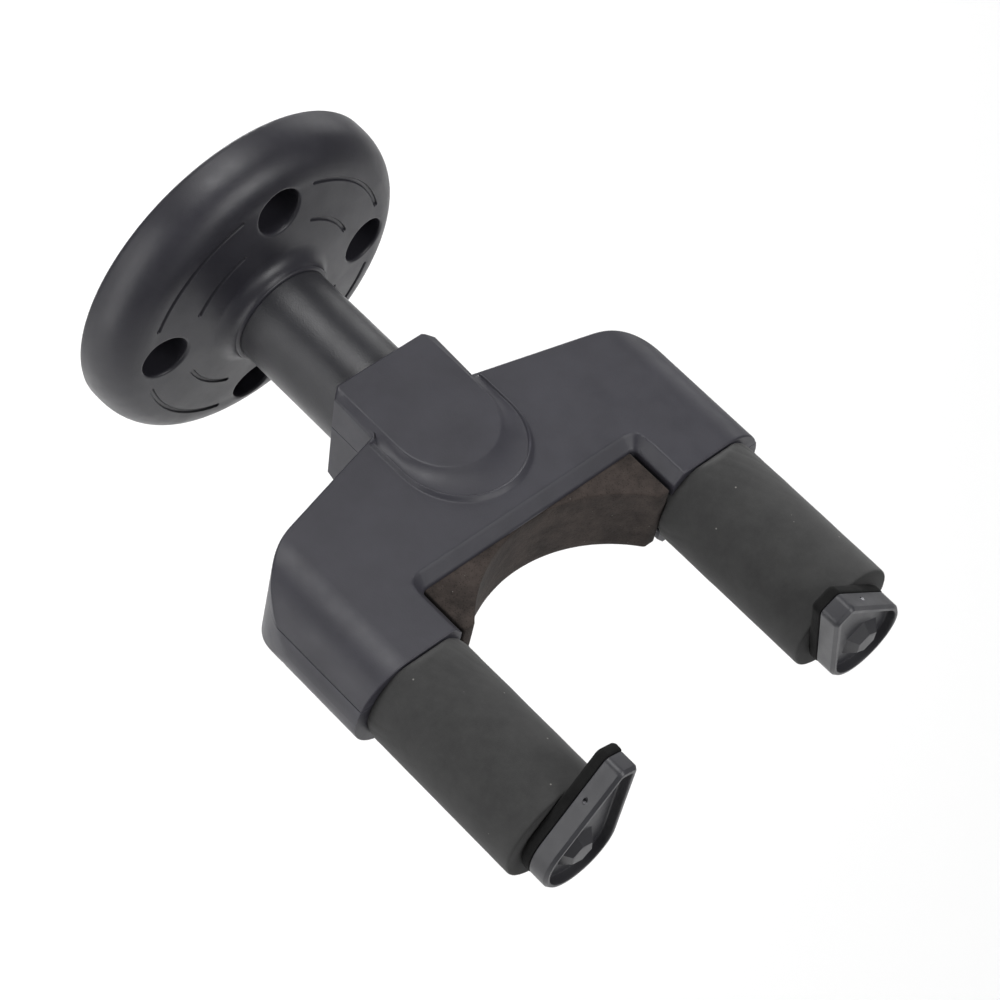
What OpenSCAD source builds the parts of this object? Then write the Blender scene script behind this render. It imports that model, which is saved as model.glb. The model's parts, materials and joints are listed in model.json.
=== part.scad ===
// Wall guitar hanger with a gravity-locked neck yoke.
// Frame: millimetres, +Z up, the wall is the plane y = 0 and the hanger reaches out towards -Y.
// "Reach" below is the distance out from the wall, so a point at reach 50 has y = -50.
// A round plate and tube are fixed to the wall. The yoke hinges on a cross pin in the tube's end
// block. As the yoke sinks under the guitar, a fork fixed to the block holds two crank pins back,
// and each crank turns its gate shaft inside the arm tube until the gate closes the neck gap.

/* [Wall plate] */
// Diameter of the wall plate
plate_d = 87; // [80:1:96]
// Depth of the plate, from the wall to its face at the screw circle
plate_h = 14; // [13:0.5:16]
// Diameter of the circle that the four wall screws sit on
screw_pcd = 60; // [57:1:62]
// Diameter of the hole for each wall screw
screw_hole_d = 5.5; // [4.5:0.5:6]
// Diameter of the well that takes each screw head
screw_well_d = 11.8; // [11:0.2:13]
// Reach of the collar's lip, where the tube leaves the plate
collar_reach = 20; // [19:0.5:22]

/* [Stem tube] */
// Outside diameter of the stem tube
stem_d = 25.4; // [25:0.1:25.6]
// Wall thickness of the stem tube
stem_wall = 1.6; // [1.2:0.1:2]
// Reach of the stem tube's free end
stem_end = 62; // [60:0.5:62.5]

/* [Yoke] */
// Half the distance between the two arm axes
arm_x = 44; // [43.5:0.1:44.5]
// Half the thickness of the yoke
yoke_half_h = 13; // [13:0.1:13.4]
// Half the width of the yoke over its rounded sides
yoke_half_w = 61.2; // [61:0.1:62]
// Thickness of the shell walls
shell_wall = 2.2; // [2:0.1:2.4]
// Reach of the shells' front ends
shell_front = 114.2; // [113.5:0.1:115]
// Height of the parting line between the two shells
parting_z = 4.5; // [4.4:0.1:5]
// Slope of the yoke's rear edges, in degrees
rear_slope = 14; // [12:0.5:15]
// Half the width of the neck cut-out
cut_half_w = 32.3; // [32.1:0.1:33]
// Reach of the neck cut-out's rear edge
cut_rear = 101.2; // [101:0.1:101.5]

/* [Boss] */
// Half the width of the boss over its flat top
boss_top_w = 13.2; // [12.8:0.1:13.4]
// Half the width of the boss at its foot on the yoke
boss_base_w = 17; // [16.8:0.1:17.2]
// Half the width of the boss behind the yoke
boss_wall_w = 15.2; // [15:0.1:15.6]
// Reach of the boss's rear face at its top edge
boss_rear = 50.6; // [50:0.1:52]
// Height of the boss's flat top
boss_top_z = 14.8; // [14.6:0.1:15]

/* [Arms] */
// Diameter of the foam sleeves
sleeve_d = 28; // [27.6:0.1:28.2]
// Outside diameter of the arm tubes
arm_d = 16; // [15.6:0.1:16.2]
// Reach of the sleeves' front ends
sleeve_front = 158.5; // [150:0.5:165]
// Radius of the curve in the neck pad
pad_radius = 37.5; // [36:0.5:40]
// Reach of the neck pad's curve at its middle
pad_reach = 100.8; // [100.6:0.1:101]

/* [Gates] */
// Radius of a gate's round end
gate_r = 10.4; // [9.4:0.1:10.6]
// Distance from the gate's axis to its flat tip
gate_len = 25.6; // [24:0.1:28]
// Depth of a gate tab from its rear face to its rim
gate_depth = 5.1; // [4.8:0.1:6]
// Thickness of the rubber pad behind each gate
gate_pad_t = 2.6; // [2.3:0.1:3.2]
// Angle of the open left gate above the horizontal, in degrees
gate_open_left = 71; // [60:1:72]
// Angle of the open right gate above the horizontal, in degrees
gate_open_right = 57; // [56:1:70]
// Angle that a gate turns through as it closes, in degrees
gate_travel = 66; // [60:1:70]
// Angle that the yoke tilts through under load, in degrees
yoke_travel = 8; // [7:0.5:8]

/* [Hidden] */
$fn = 96;

left = -1;
right = 1;
slack = 0.05;
cut = 1;
over = 60;
// Straight sides that run into a round are drawn this far inside the tangent
hair = 0.003;

plate_r = plate_d / 2;
stem_r = stem_d / 2;
bore_r = stem_r + slack;

// Wall plate: a hollow moulding with a domed rim
rim_straight = 2.5;
rim_w = 9.5;
rim_h = plate_h - 0.5 - rim_straight;
face_out_r = plate_r - rim_w;
face_in_r = 20.5;
face_in_h = plate_h + 1.3;
collar_r = stem_r + 1.1;
collar_blend = 3.6;
plate_wall = 3;
well_floor = 6;
well_boss_r = screw_well_d / 2 + 2;
hub_r = 23;
rib_back = 3;
rib_t = 2;
flange_r = 20;
flange_t = 2.5;
flange_seat = 6;
groove_outer_r = 34.2;
groove_inner_r = 23.9;
groove_w = 0.9;
groove_depth = 0.5;
groove_outer_span = 54;
groove_inner_span = 40;
flange_screw_r = 16.3;
flange_screw_count = 3;

// Pivot
pivot_reach = 71.2;
pin_r = 3;
pin_half_l = 17.3;
bush_r = 4.2;
bush_flange_r = 5.4;
bush_inner = 4;
block_half_w = 10;
block_half_h = 6.5;
block_front = 88;
plug_start = 42;
plug_r = stem_r - stem_wall - slack;
rivet_reach = 53;
rivet_r = 2;
cheek_in = 10.8;
cheek_start = 64.8;
cheek_end = 77;
saddle_half_l = 2.8;
down_stop_z = 8.85;
down_stop_reach = 86.3;
spring_reach = 81.8;
spring_r = 3.5;
wire_r = 0.5;
spring_floor = 1;
spring_turns = 5.5;

// Drive fork and cranks
fork_t = 2;
fork_arm_h = 3.5;
fork_mid_h = 6;
fork_mid_w = 9;
lever = block_front + fork_t / 2 - pivot_reach;
crank_r = lever * sin(yoke_travel) / (2 * sin(gate_travel / 2));
crank_start = 180 + gate_travel / 2;
crank_pin_r = 1;
slot_half_h = 1.3;
crank_back = block_front + fork_t + 1.4;
crank_t = 2.6;
crank_disc_r = 5;
shaft_r = 3;

// Yoke body
side_r = yoke_half_h;
side_x = yoke_half_w - side_r;
rear_root = 65.1;
shoulder_r = 21;
shoulder_x = yoke_half_w - shoulder_r;
shoulder_reach = rear_root + (shoulder_x - boss_wall_w) * tan(rear_slope) + shoulder_r / cos(rear_slope);
seam = 0.08;
chamfer_w = 2.5;
chamfer_h = 3;
chamfer_d = 3;
pocket_wall = 93.8;
pad_back = 96;
pad_half_w = 31.3;
pad_low = -10;
pad_high = 9.5;
socket_back = 98.5;
sleeve_seat = 111;
seat_r = 13.55;
seat_flat = 11.5;
boss_hollow_w = 13.3;
boss_hollow_z = 13.1;
boss_floor_z = -11;
boss_floor_front = 60;
boss_corner_w = 2.6;
boss_corner_d = 2;
boss_front_c = 71.6;
base_front_c = 77.4;
rake = 4.5;

// Arms
arm_r = arm_d / 2;
arm_bore_r = 5.6;
arm_back = 97.2;
sleeve_r = sleeve_d / 2;

// Gates
gate_tip_r = 1.7;
gate_tip_half = 1.5;
rim_t = 1.2;
recess = 2.3;
gate_front = sleeve_front + 0.1 + gate_pad_t + 0.1 + gate_depth;
gate_back = gate_front - gate_depth;
tab_pin_r = 0.5;
tab_pin_turn = 20;
tab_pin_top = 16.5;
tab_pin_depth = 0.4;
hex_base = 4.6;
hex_top = 2.6;

screw_r = 1.5;
screw_head_r = 2.75;
screw_head_h = 2;
post_r = 3.5;
screw_top = 9;
// Each shell screw: x, reach, height of its head's seat
shell_screw_list = [
    [28, 78.5, -8.4],
    [53, 83, -6.5],
    [56, 104.5, -6]
];

// ---------- placing helpers ----------

// Extrude a shape drawn in the XZ plane outwards, from one reach to another
module out(from, to) {
    translate([0, -from, 0])
        rotate([90, 0, 0])
            linear_extrude(to - from)
                children();
}

// A round bar along the reach direction
module bar(r, from, to) {
    out(from, to) circle(r);
}

// A round bar along X
module cross_bar(r, from, to) {
    translate([from, 0, 0])
        rotate([0, 90, 0])
            cylinder(r = r, h = to - from);
}

// A block given by its limits in x, reach and z
module block(x0, x1, from, to, z0, z1) {
    translate([x0, -to, z0])
        cube([x1 - x0, to - from, z1 - z0]);
}

// Pieces are drawn for the left side and mirrored for the right one
module on_side(side) {
    if (side == right)
        mirror([1, 0, 0]) children();
    else
        children();
}

module both_sides() {
    on_side(left) children();
    on_side(right) children();
}

module at_arm() {
    translate([-arm_x, 0, 0]) children();
}

// Turn a gate's own frame, with its tip along +X, to the open position on the left or right
module open_gate(side) {
    at_arm()
        rotate([0, side == left ? -gate_open_left : -gate_open_right, 0])
            children();
}

// ---------- wall plate and stem ----------

// Points of a quarter ellipse from its outer end to its top
function rim_arc(r, h, w, t, steps) =
    [for (i = [0:steps]) [r - w + w * cos(90 * i / steps), h + t * sin(90 * i / steps)]];

// Points of the concave blend between the face and the collar
function blend_arc(steps) =
    [for (i = [0:steps])
        [collar_r + collar_blend * (1 - sin(90 * i / steps)),
         face_in_h + collar_blend * (1 - cos(90 * i / steps))]];

module plate_outside() {
    profile = concat([[0, 0], [plate_r, 0]],
        rim_arc(plate_r, rim_straight, rim_w, rim_h, 12),
        [[face_in_r, face_in_h]],
        blend_arc(8),
        [[collar_r, collar_reach - 0.5], [collar_r - 0.5, collar_reach], [0, collar_reach]]);
    rotate([90, 0, 0])
        rotate_extrude()
            polygon(profile);
}

module plate_cavity(grow) {
    inside = plate_r - plate_wall + grow;
    top = plate_h - plate_wall + grow;
    rotate([90, 0, 0])
        rotate_extrude()
            polygon(concat([[hub_r - grow * 2, -cut], [inside, -cut]],
                rim_arc(inside, rim_straight, rim_w, top - rim_straight, 8),
                [[hub_r - grow * 2, top]]));
}

module at_screws() {
    for (i = [0:3])
        rotate([0, 90 * i, 0])
            translate([screw_pcd / 2, 0, 0])
                children();
}

module groove(r, span, face_h) {
    rotate([90, 0, 0])
        rotate([0, 0, -span / 2])
            rotate_extrude(angle = span)
                translate([r - groove_w / 2, face_h - groove_depth])
                    square([groove_w, over / 10]);
}

// Height of the plate's face at a radius, on the slope between its rim and its hub
function face_height(r) =
    plate_h - 0.5 + (face_out_r - r) * (face_in_h - plate_h + 0.5) / (face_out_r - face_in_r);

module wall_plate() {
    color([0.17, 0.17, 0.19])
    difference() {
        union() {
            difference() {
                plate_outside();
                plate_cavity(0);
            }
            at_screws() bar(well_boss_r, 0, plate_h - plate_wall + cut);
            intersection() {
                plate_cavity(0.5);
                for (i = [0:3])
                    rotate([0, 90 * i + 45, 0])
                        block(hub_r - cut, plate_r, rib_back, plate_h, -rib_t / 2, rib_t / 2);
            }
        }
        bar(bore_r, -cut, over);
        bar(flange_r + slack, -cut, flange_seat);
        at_screws() bar(screw_hole_d / 2, -cut, over);
        at_screws() bar(screw_well_d / 2, well_floor, over);
        for (i = [0:flange_screw_count - 1])
            rotate([0, 120 * i + 90, 0])
                translate([flange_screw_r, 0, 0])
                    bar(screw_r + slack, flange_seat - cut, face_in_h - 1.5);
        for (i = [0:3])
            rotate([0, 90 * i + 45, 0]) {
                groove(groove_outer_r, groove_outer_span, face_height(groove_outer_r));
                groove(groove_inner_r, groove_inner_span, face_height(groove_inner_r));
            }
    }
}

module stem_tube() {
    color([0.14, 0.14, 0.16])
    difference() {
        union() {
            bar(stem_r, flange_seat - flange_t, stem_end);
            bar(flange_r, flange_seat - flange_t, flange_seat - slack);
        }
        bar(stem_r - stem_wall, 0, over * 2);
        translate([0, -rivet_reach, -over / 2]) cylinder(r = rivet_r + slack, h = over);
        for (i = [0:flange_screw_count - 1])
            rotate([0, 120 * i + 90, 0])
                translate([flange_screw_r, 0, 0])
                    bar(screw_r + 0.1, 0, flange_seat + cut);
    }
}

module flange_screws() {
    head_from = flange_seat - flange_t - 2;
    color([0.62, 0.63, 0.65])
    for (i = [0:flange_screw_count - 1])
        rotate([0, 120 * i + 90, 0])
            translate([flange_screw_r, 0, 0]) {
                bar(2.9, head_from, flange_seat - flange_t - slack);
                bar(screw_r, head_from + cut, face_in_h - 2);
            }
}

// The plug in the tube's end, with the pivot eye and the nose that carries the fork
module pivot_block() {
    color([0.55, 0.56, 0.58])
    difference() {
        union() {
            bar(plug_r, plug_start, stem_end + cut);
            block(-block_half_w, block_half_w, stem_end, block_front, -block_half_h, block_half_h);
        }
        translate([0, -pivot_reach, 0]) cross_bar(bush_r + 0.02, -over, over);
        translate([0, -rivet_reach, -over / 2]) cylinder(r = rivet_r + slack, h = over);
        translate([0, -spring_reach, spring_floor]) cylinder(r = spring_r + wire_r + 0.5, h = over);
        for (x = [-6, 6])
            translate([x, 0, -2.6])
                bar(screw_r + slack, block_front - 9, block_front + cut);
    }
}

module block_rivet() {
    color([0.62, 0.63, 0.65])
    translate([0, -rivet_reach, -stem_r + 0.2])
        cylinder(r = rivet_r, h = 2 * (stem_r - 0.2));
}

// Centre of the crank pin at rest, in the left arm's own frame
crank_pin_x = crank_r * cos(crank_start);
crank_pin_z = crank_r * sin(crank_start);

module fork_slot() {
    near = crank_pin_x;
    far = -crank_r;
    translate([-arm_x, 0]) {
        translate([near, crank_pin_z]) circle(slot_half_h);
        translate([far, crank_pin_z]) circle(slot_half_h);
        translate([far, crank_pin_z - slot_half_h]) square([near - far, 2 * slot_half_h]);
    }
}

module drive_fork() {
    reach_x = arm_x + crank_r + 3.6;
    color([0.66, 0.66, 0.63])
    difference() {
        out(block_front + slack, block_front + fork_t)
            difference() {
                union() {
                    translate([-reach_x, crank_pin_z - fork_arm_h]) square([2 * reach_x, 2 * fork_arm_h]);
                    translate([-fork_mid_w, -fork_mid_h]) square([2 * fork_mid_w, 2 * fork_mid_h]);
                }
                fork_slot();
                mirror([1, 0]) fork_slot();
            }
        for (x = [-6, 6])
            translate([x, 0, -2.6])
                bar(screw_r + 0.1, block_front - cut, block_front + fork_t + cut);
    }
}

module fork_screws() {
    color([0.62, 0.63, 0.65])
    for (x = [-6, 6])
        translate([x, 0, -2.6]) {
            bar(screw_r, block_front - 8, block_front + fork_t + cut);
            bar(screw_head_r, block_front + fork_t + slack, block_front + fork_t + 1.8);
        }
}

// ---------- yoke shells ----------

// The yoke's outline seen from above, without its boss, shrunk by an inset
module yoke_plan(inset) {
    root = rear_root + inset / cos(rear_slope);
    r = shoulder_r - inset;
    tangent_x = shoulder_x + (r - hair) * sin(rear_slope);
    tangent_reach = shoulder_reach - (r - hair) * cos(rear_slope);
    for (s = [-1, 1])
        translate([s * shoulder_x, -shoulder_reach]) circle(r);
    translate([-shoulder_x - r, -shell_front]) square([2 * (shoulder_x + r), shell_front - shoulder_reach]);
    polygon([
        [-boss_wall_w, -root], [boss_wall_w, -root],
        [tangent_x, -tangent_reach],
        [shoulder_x, -shoulder_reach - cut], [-shoulder_x, -shoulder_reach - cut],
        [-tangent_x, -tangent_reach]
    ]);
}

// The yoke's section across the arms: flat above and below, half round at the sides
module yoke_section(inset) {
    r = side_r - inset;
    for (s = [-1, 1])
        translate([s * side_x, 0]) circle(r);
    translate([-side_x, -r]) square([2 * side_x, 2 * r]);
}

module yoke_body(inset, front) {
    intersection() {
        translate([0, 0, -over / 2]) linear_extrude(over) yoke_plan(inset);
        out(rear_root - 2, front) yoke_section(inset);
    }
}

// A U outline for the boss, with its round end at the front
module boss_outline(w, centre, z, t) {
    translate([0, 0, z])
        linear_extrude(t) {
            translate([0, -centre]) circle(w, $fn = 64);
            translate([-w, -centre]) square([2 * w, centre - boss_rear]);
        }
}

// The boss's raised cap, with sides that slope up in two steps and flat walls behind the yoke
module boss_cap() {
    lip_z = yoke_half_h + 0.45;
    mid_z = yoke_half_h + 0.7;
    mid_w = (boss_top_w + boss_base_w) / 2;
    mid_c = (boss_front_c + base_front_c) / 2;
    difference() {
        union() {
            boss_outline(boss_base_w, base_front_c, parting_z, lip_z - parting_z);
            hull() {
                boss_outline(boss_base_w - 0.3, base_front_c, lip_z - 0.3, 0.3);
                boss_outline(mid_w, mid_c, lip_z - 0.3, mid_z - lip_z + 0.3);
            }
            hull() {
                boss_outline(mid_w, mid_c, lip_z, mid_z - lip_z);
                boss_outline(boss_top_w, boss_front_c, lip_z, boss_top_z - lip_z);
            }
        }
        both_sides() block(-over, -boss_wall_w, 0, rear_root + hair, -over, over);
    }
}

// The walls below the cap, with an underside that slopes down to the yoke
module boss_walls() {
    floor_rear = boss_rear + boss_corner_d + 2;
    translate([-boss_wall_w, 0, 0])
        rotate([90, 0, 90])
            linear_extrude(2 * boss_wall_w)
                polygon([[-boss_rear, parting_z], [-boss_rear, boss_floor_z], [-floor_rear, boss_floor_z],
                    [-boss_floor_front, -yoke_half_h + hair], [-rear_root - cut, -yoke_half_h + hair],
                    [-rear_root - cut, parting_z]]);
}

// What leans the boss's rear face, so that its lower edge stands clear of the tilting tube
module boss_rake() {
    translate([0, -boss_rear, boss_top_z])
        rotate([-rake, 0, 0]) {
            translate([-over / 2, 0, -over])
                cube([over, over, 2 * over]);
            translate([0, 0, -over])
                both_sides()
                    linear_extrude(2 * over)
                        polygon([[boss_corner_w - boss_wall_w, cut], [boss_corner_w - boss_wall_w, 0],
                            [-boss_wall_w - boss_corner_w, -2 * boss_corner_d],
                            [-boss_wall_w - boss_corner_w, cut]]);
        }
}

module neck_cut() {
    block(-cut_half_w, cut_half_w, cut_rear, over * 3, -over, over);
    low = yoke_half_h - chamfer_h;
    high = yoke_half_h + cut;
    wide = cut_half_w + chamfer_w * (cut + chamfer_h) / chamfer_h;
    back = cut_rear - chamfer_d * (cut + chamfer_h) / chamfer_h;
    for (face = [0, 1])
        mirror([0, 0, face])
            intersection() {
                out(cut_rear - 2 * chamfer_d, over * 3)
                    polygon([[-cut_half_w, low], [cut_half_w, low], [wide, high], [-wide, high]]);
                translate([-over, 0, 0])
                    rotate([90, 0, 90])
                        linear_extrude(2 * over)
                            polygon([[-cut_rear, low], [-back, high], [-over * 3, high], [-over * 3, low]]);
            }
}

// The space in which each sleeve's end is squeezed between the shells
module sleeve_seat_shape(grow) {
    translate([-arm_x, 0])
        intersection() {
            circle(seat_r + grow);
            translate([-seat_r - 1, -seat_flat - grow]) square([over, 2 * (seat_flat + grow)]);
        }
}

module shell_hollow() {
    intersection() {
        yoke_body(shell_wall, shell_front);
        union() {
            block(-over * 2, over * 2, rear_root, pocket_wall, -over, over);
            both_sides() block(-over * 2, -cut_half_w - shell_wall, pocket_wall - cut, socket_back, -over, over);
        }
    }
    block(-boss_hollow_w, boss_hollow_w, boss_rear - cut, cheek_start, -over, boss_hollow_z);
    block(-cheek_in, cheek_in, cheek_start - cut, rear_root + shell_wall + cut,
        -yoke_half_h + shell_wall, yoke_half_h - shell_wall);
}

// Everything cut from both shells alike
module shell_cuts() {
    neck_cut();
    boss_rake();
    block(-pad_half_w - slack, pad_half_w + slack, pad_back - slack, cut_rear + cut,
        pad_low - slack, pad_high + slack);
    both_sides() {
        at_arm() bar(arm_r + slack, socket_back - cut, over * 3);
        out(sleeve_seat, over * 3) sleeve_seat_shape(0);
    }
}

module at_shell_screws() {
    both_sides()
        for (s = shell_screw_list)
            translate([-s[0], -s[1], 0])
                children();
}

module screw_posts(z0, z1) {
    intersection() {
        at_shell_screws() translate([0, 0, z0]) cylinder(r = post_r, h = z1 - z0);
        yoke_body(cut / 2, shell_front);
    }
}

module upper_shell() {
    color([0.19, 0.19, 0.22])
    difference() {
        union() {
            difference() {
                union() {
                    yoke_body(0, shell_front);
                    boss_cap();
                }
                shell_hollow();
            }
            screw_posts(parting_z, yoke_half_h - cut);
            both_sides()
                block(-boss_base_w + 0.2, -cheek_in - 0.2, pivot_reach - saddle_half_l,
                    pivot_reach + saddle_half_l, pin_r + slack, yoke_half_h - cut);
            block(-6, 6, down_stop_reach, block_front, down_stop_z, yoke_half_h - cut);
            translate([0, -spring_reach, yoke_half_h - shell_wall - 2.5]) cylinder(r = 2.4, h = 3);
        }
        shell_cuts();
        difference() {
            block(-over * 2, over * 2, 0, over * 3, -over, parting_z + seam);
            both_sides()
                block(-boss_base_w + 0.2, -cheek_in - 0.2, pivot_reach - saddle_half_l,
                    pivot_reach + saddle_half_l, pin_r + slack, over);
        }
        at_shell_screws() cylinder(r = screw_r + 0.02, h = screw_top + 0.5);
    }
}

module lower_shell() {
    color([0.19, 0.19, 0.22])
    difference() {
        union() {
            difference() {
                union() {
                    yoke_body(0, shell_front);
                    boss_walls();
                }
                shell_hollow();
            }
            both_sides()
                block(-boss_wall_w, -cheek_in, cheek_start, cheek_end, -yoke_half_h + cut, parting_z);
            screw_posts(-yoke_half_h + cut / 2, parting_z);
            block(-6, 6, block_front - 6, block_front - 2, -yoke_half_h + cut, -block_half_h - slack);
        }
        shell_cuts();
        block(-over * 2, over * 2, 0, over * 3, parting_z - seam, over);
        translate([0, -pivot_reach, 0]) cross_bar(pin_r + 0.02, -pin_half_l - cut, pin_half_l + cut);
        block(-pin_half_l, pin_half_l, pivot_reach - pin_r, pivot_reach + pin_r, 0, over);
        at_shell_screws() translate([0, 0, -over / 2]) cylinder(r = screw_r + 0.2, h = over);
        both_sides()
            for (s = shell_screw_list)
                translate([-s[0], -s[1], s[2] - over]) cylinder(r = screw_head_r + 0.3, h = over);
    }
}

module shell_screws() {
    color([0.62, 0.63, 0.65])
    both_sides()
        for (s = shell_screw_list)
            translate([-s[0], -s[1], s[2]]) {
                translate([0, 0, -screw_head_h]) cylinder(r = screw_head_r, h = screw_head_h - slack);
                translate([0, 0, -cut]) cylinder(r = screw_r, h = screw_top - s[2] + cut);
            }
}

// ---------- pivot ----------

module pivot_pin() {
    color([0.7, 0.71, 0.73])
    translate([0, -pivot_reach, 0])
        cross_bar(pin_r, -pin_half_l, pin_half_l);
}

// Flanged bushes pressed into the block, which turn on the pin
module pivot_bushes() {
    color([0.06, 0.06, 0.06])
    both_sides()
        translate([0, -pivot_reach, 0])
            difference() {
                union() {
                    cross_bar(bush_r, -block_half_w - 0.3, -bush_inner);
                    cross_bar(bush_flange_r, -cheek_in + slack, -block_half_w - slack);
                }
                cross_bar(pin_r + slack, -over, 0);
            }
}

// An E-shaped retaining clip lying in a groove, drawn across the reach direction
module retaining_clip(r_in, r_out, from, t) {
    out(from, from + t)
        difference() {
            circle(r_out);
            circle(r_in);
            translate([-r_in * 0.7, -r_out - cut]) square([r_in * 1.4, r_out + cut]);
        }
}

// Points of a circle of wire at one place along the spring
function wire_ring(a, z, sides) =
    [for (k = [0:sides - 1])
        let (b = 360 * k / sides, r = spring_r + wire_r * cos(b))
        [r * cos(a), r * sin(a), z + wire_r * sin(b)]];

// A compression spring that holds the yoke up against its stop
module return_spring() {
    sides = 6;
    per_turn = 14;
    rings = spring_turns * per_turn;
    low = spring_floor + wire_r + slack;
    high = yoke_half_h - shell_wall - wire_r - slack;
    points = [for (i = [0:rings])
        each wire_ring(360 * i / per_turn, low + (high - low) * i / rings, sides)];
    skin = [for (i = [0:rings - 1])
        for (k = [0:sides - 1])
            let (a = i * sides + k, b = i * sides + (k + 1) % sides)
            each [[a, a + sides, b], [b, a + sides, b + sides]]];
    first_end = [for (k = [0:sides - 1]) k];
    last_end = [for (k = [sides - 1:-1:0]) rings * sides + k];
    color([0.72, 0.73, 0.75])
    translate([0, -spring_reach, 0])
        polyhedron(points, concat(skin, [first_end], [last_end]));
}

// ---------- arms and pads ----------

module neck_pad() {
    tip = shell_front - 0.1;
    color([0.2, 0.17, 0.16])
    difference() {
        block(-pad_half_w, pad_half_w, pad_back, tip, pad_low, pad_high);
        translate([0, -pad_reach - pad_radius, -over])
            cylinder(r = pad_radius, h = over * 2, $fn = 180);
    }
}

module arm_tube(side) {
    color([0.6, 0.6, 0.62])
    on_side(side)
        at_arm()
            difference() {
                bar(arm_r, arm_back, sleeve_front - 0.1);
                bar(arm_bore_r, arm_back - cut, sleeve_front + cut);
            }
}

module sleeve(side) {
    color([0.12, 0.12, 0.12])
    on_side(side)
        difference() {
            union() {
                at_arm() bar(sleeve_r, shell_front + slack, sleeve_front);
                out(sleeve_seat + slack, shell_front + cut)
                    intersection() {
                        sleeve_seat_shape(-slack);
                        translate([-over * 2, -over]) square([over * 2 - cut_half_w, over * 2]);
                    }
            }
            at_arm() bar(arm_r + slack, 0, over * 3);
        }
}

module front_bush(side) {
    color([0.06, 0.06, 0.06])
    on_side(side)
        at_arm()
            difference() {
                union() {
                    bar(arm_bore_r - 0.02, sleeve_front - 8, sleeve_front + 0.1);
                    bar(arm_r - 0.3, sleeve_front, sleeve_front + 0.7);
                }
                bar(shaft_r + slack, 0, over * 3);
            }
}

module rear_bush(side) {
    color([0.06, 0.06, 0.06])
    on_side(side)
        at_arm()
            difference() {
                union() {
                    bar(arm_bore_r - 0.02, arm_back - 0.1, arm_back + 8);
                    bar(arm_r - 0.3, arm_back - 1.1, arm_back - slack);
                }
                bar(shaft_r + slack, 0, over * 3);
            }
}

// ---------- gates ----------

// A gate's form in its own frame, with its tip along +X: a round end, a flat tip and straight sides
module gate_form(r, tip_r, tip_half, len, from, to) {
    d = len - tip_r;
    gap = sqrt(d * d + tip_half * tip_half);
    turn = atan2(tip_half, d) + acos((r - tip_r) / gap);
    near_x = (r - hair) * cos(turn);
    near_z = (r - hair) * sin(turn);
    far_x = d + (tip_r - hair) * cos(turn);
    far_z = tip_half + (tip_r - hair) * sin(turn);
    bar(r, from, to);
    for (s = [-1, 1])
        translate([d, 0, s * tip_half]) bar(tip_r, from, to, $fn = 48);
    block(d - cut, len - hair, from, to, -tip_half, tip_half);
    out(from, to) polygon([[near_x, near_z], [far_x, far_z], [far_x, -far_z], [near_x, -near_z]]);
}

// A six-sided boss that narrows towards the front
module hex_boss(from, to) {
    flank = [[-from, -hex_base], [-from, hex_base], [-to, hex_top], [-to, -hex_top]];
    intersection_for (a = [0, 60, 120])
        rotate([0, a, 0])
            translate([-over / 2, 0, 0])
                rotate([90, 0, 90])
                    linear_extrude(over)
                        polygon(flank);
}

module tab_pin_hole(r, top) {
    translate([0, -(gate_back + gate_depth * tab_pin_depth), 0])
        rotate([0, -tab_pin_turn, 0])
            cross_bar(r, -shaft_r + 0.4, top);
}

module gate_tab(side) {
    floor_reach = gate_front - recess;
    color([0.25, 0.25, 0.27])
    on_side(side)
        open_gate(side)
            difference() {
                union() {
                    difference() {
                        gate_form(gate_r, gate_tip_r, gate_tip_half, gate_len, gate_back, gate_front);
                        gate_form(gate_r - rim_t, gate_tip_r * 0.6, gate_tip_half * 0.6,
                            gate_len - rim_t, floor_reach, gate_front + cut);
                    }
                    hex_boss(floor_reach - 0.2, gate_front + 0.2);
                }
                bar(shaft_r + 0.02, gate_back - cut, gate_back + 3.2);
                tab_pin_hole(tab_pin_r + 0.02, over);
            }
}

module gate_pad(side) {
    color([0.07, 0.07, 0.07])
    on_side(side)
        open_gate(side)
            difference() {
                gate_form(gate_r - 0.1, gate_tip_r, gate_tip_half, gate_len + 0.2,
                    gate_back - gate_pad_t, gate_back - slack);
                bar(shaft_r + 0.1, 0, over * 3);
                bar(arm_r, 0, sleeve_front + 0.8);
            }
}

module gate_shaft(side) {
    color([0.7, 0.71, 0.73])
    on_side(side)
        open_gate(side)
            difference() {
                bar(shaft_r, crank_back + 0.6, gate_back + 3);
                difference() {
                    bar(shaft_r + cut, arm_back - 2.3, arm_back - 1.3);
                    bar(shaft_r - 0.6, 0, over * 3);
                }
                tab_pin_hole(tab_pin_r + 0.02, over);
            }
}

module gate_crank(side) {
    color([0.66, 0.66, 0.63])
    on_side(side)
        at_arm()
            difference() {
                bar(crank_disc_r, crank_back, crank_back + crank_t);
                bar(shaft_r + 0.02, crank_back + 0.6 - slack, crank_back + crank_t + cut);
                translate([crank_pin_x, 0, crank_pin_z])
                    bar(crank_pin_r + 0.02, crank_back - cut, crank_back + 0.55);
            }
}

module crank_pin(side) {
    color([0.7, 0.71, 0.73])
    on_side(side)
        translate([crank_pin_x - arm_x, 0, crank_pin_z])
            bar(crank_pin_r, block_front - 1.2, crank_back + 0.5);
}

module shaft_clip(side) {
    color([0.3, 0.3, 0.32])
    on_side(side)
        at_arm()
            retaining_clip(shaft_r - 0.55, shaft_r + 2, arm_back - 2.2, 0.8);
}

module tab_pin(side) {
    color([0.62, 0.63, 0.65])
    on_side(side)
        open_gate(side)
            tab_pin_hole(tab_pin_r, tab_pin_top);
}

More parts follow.
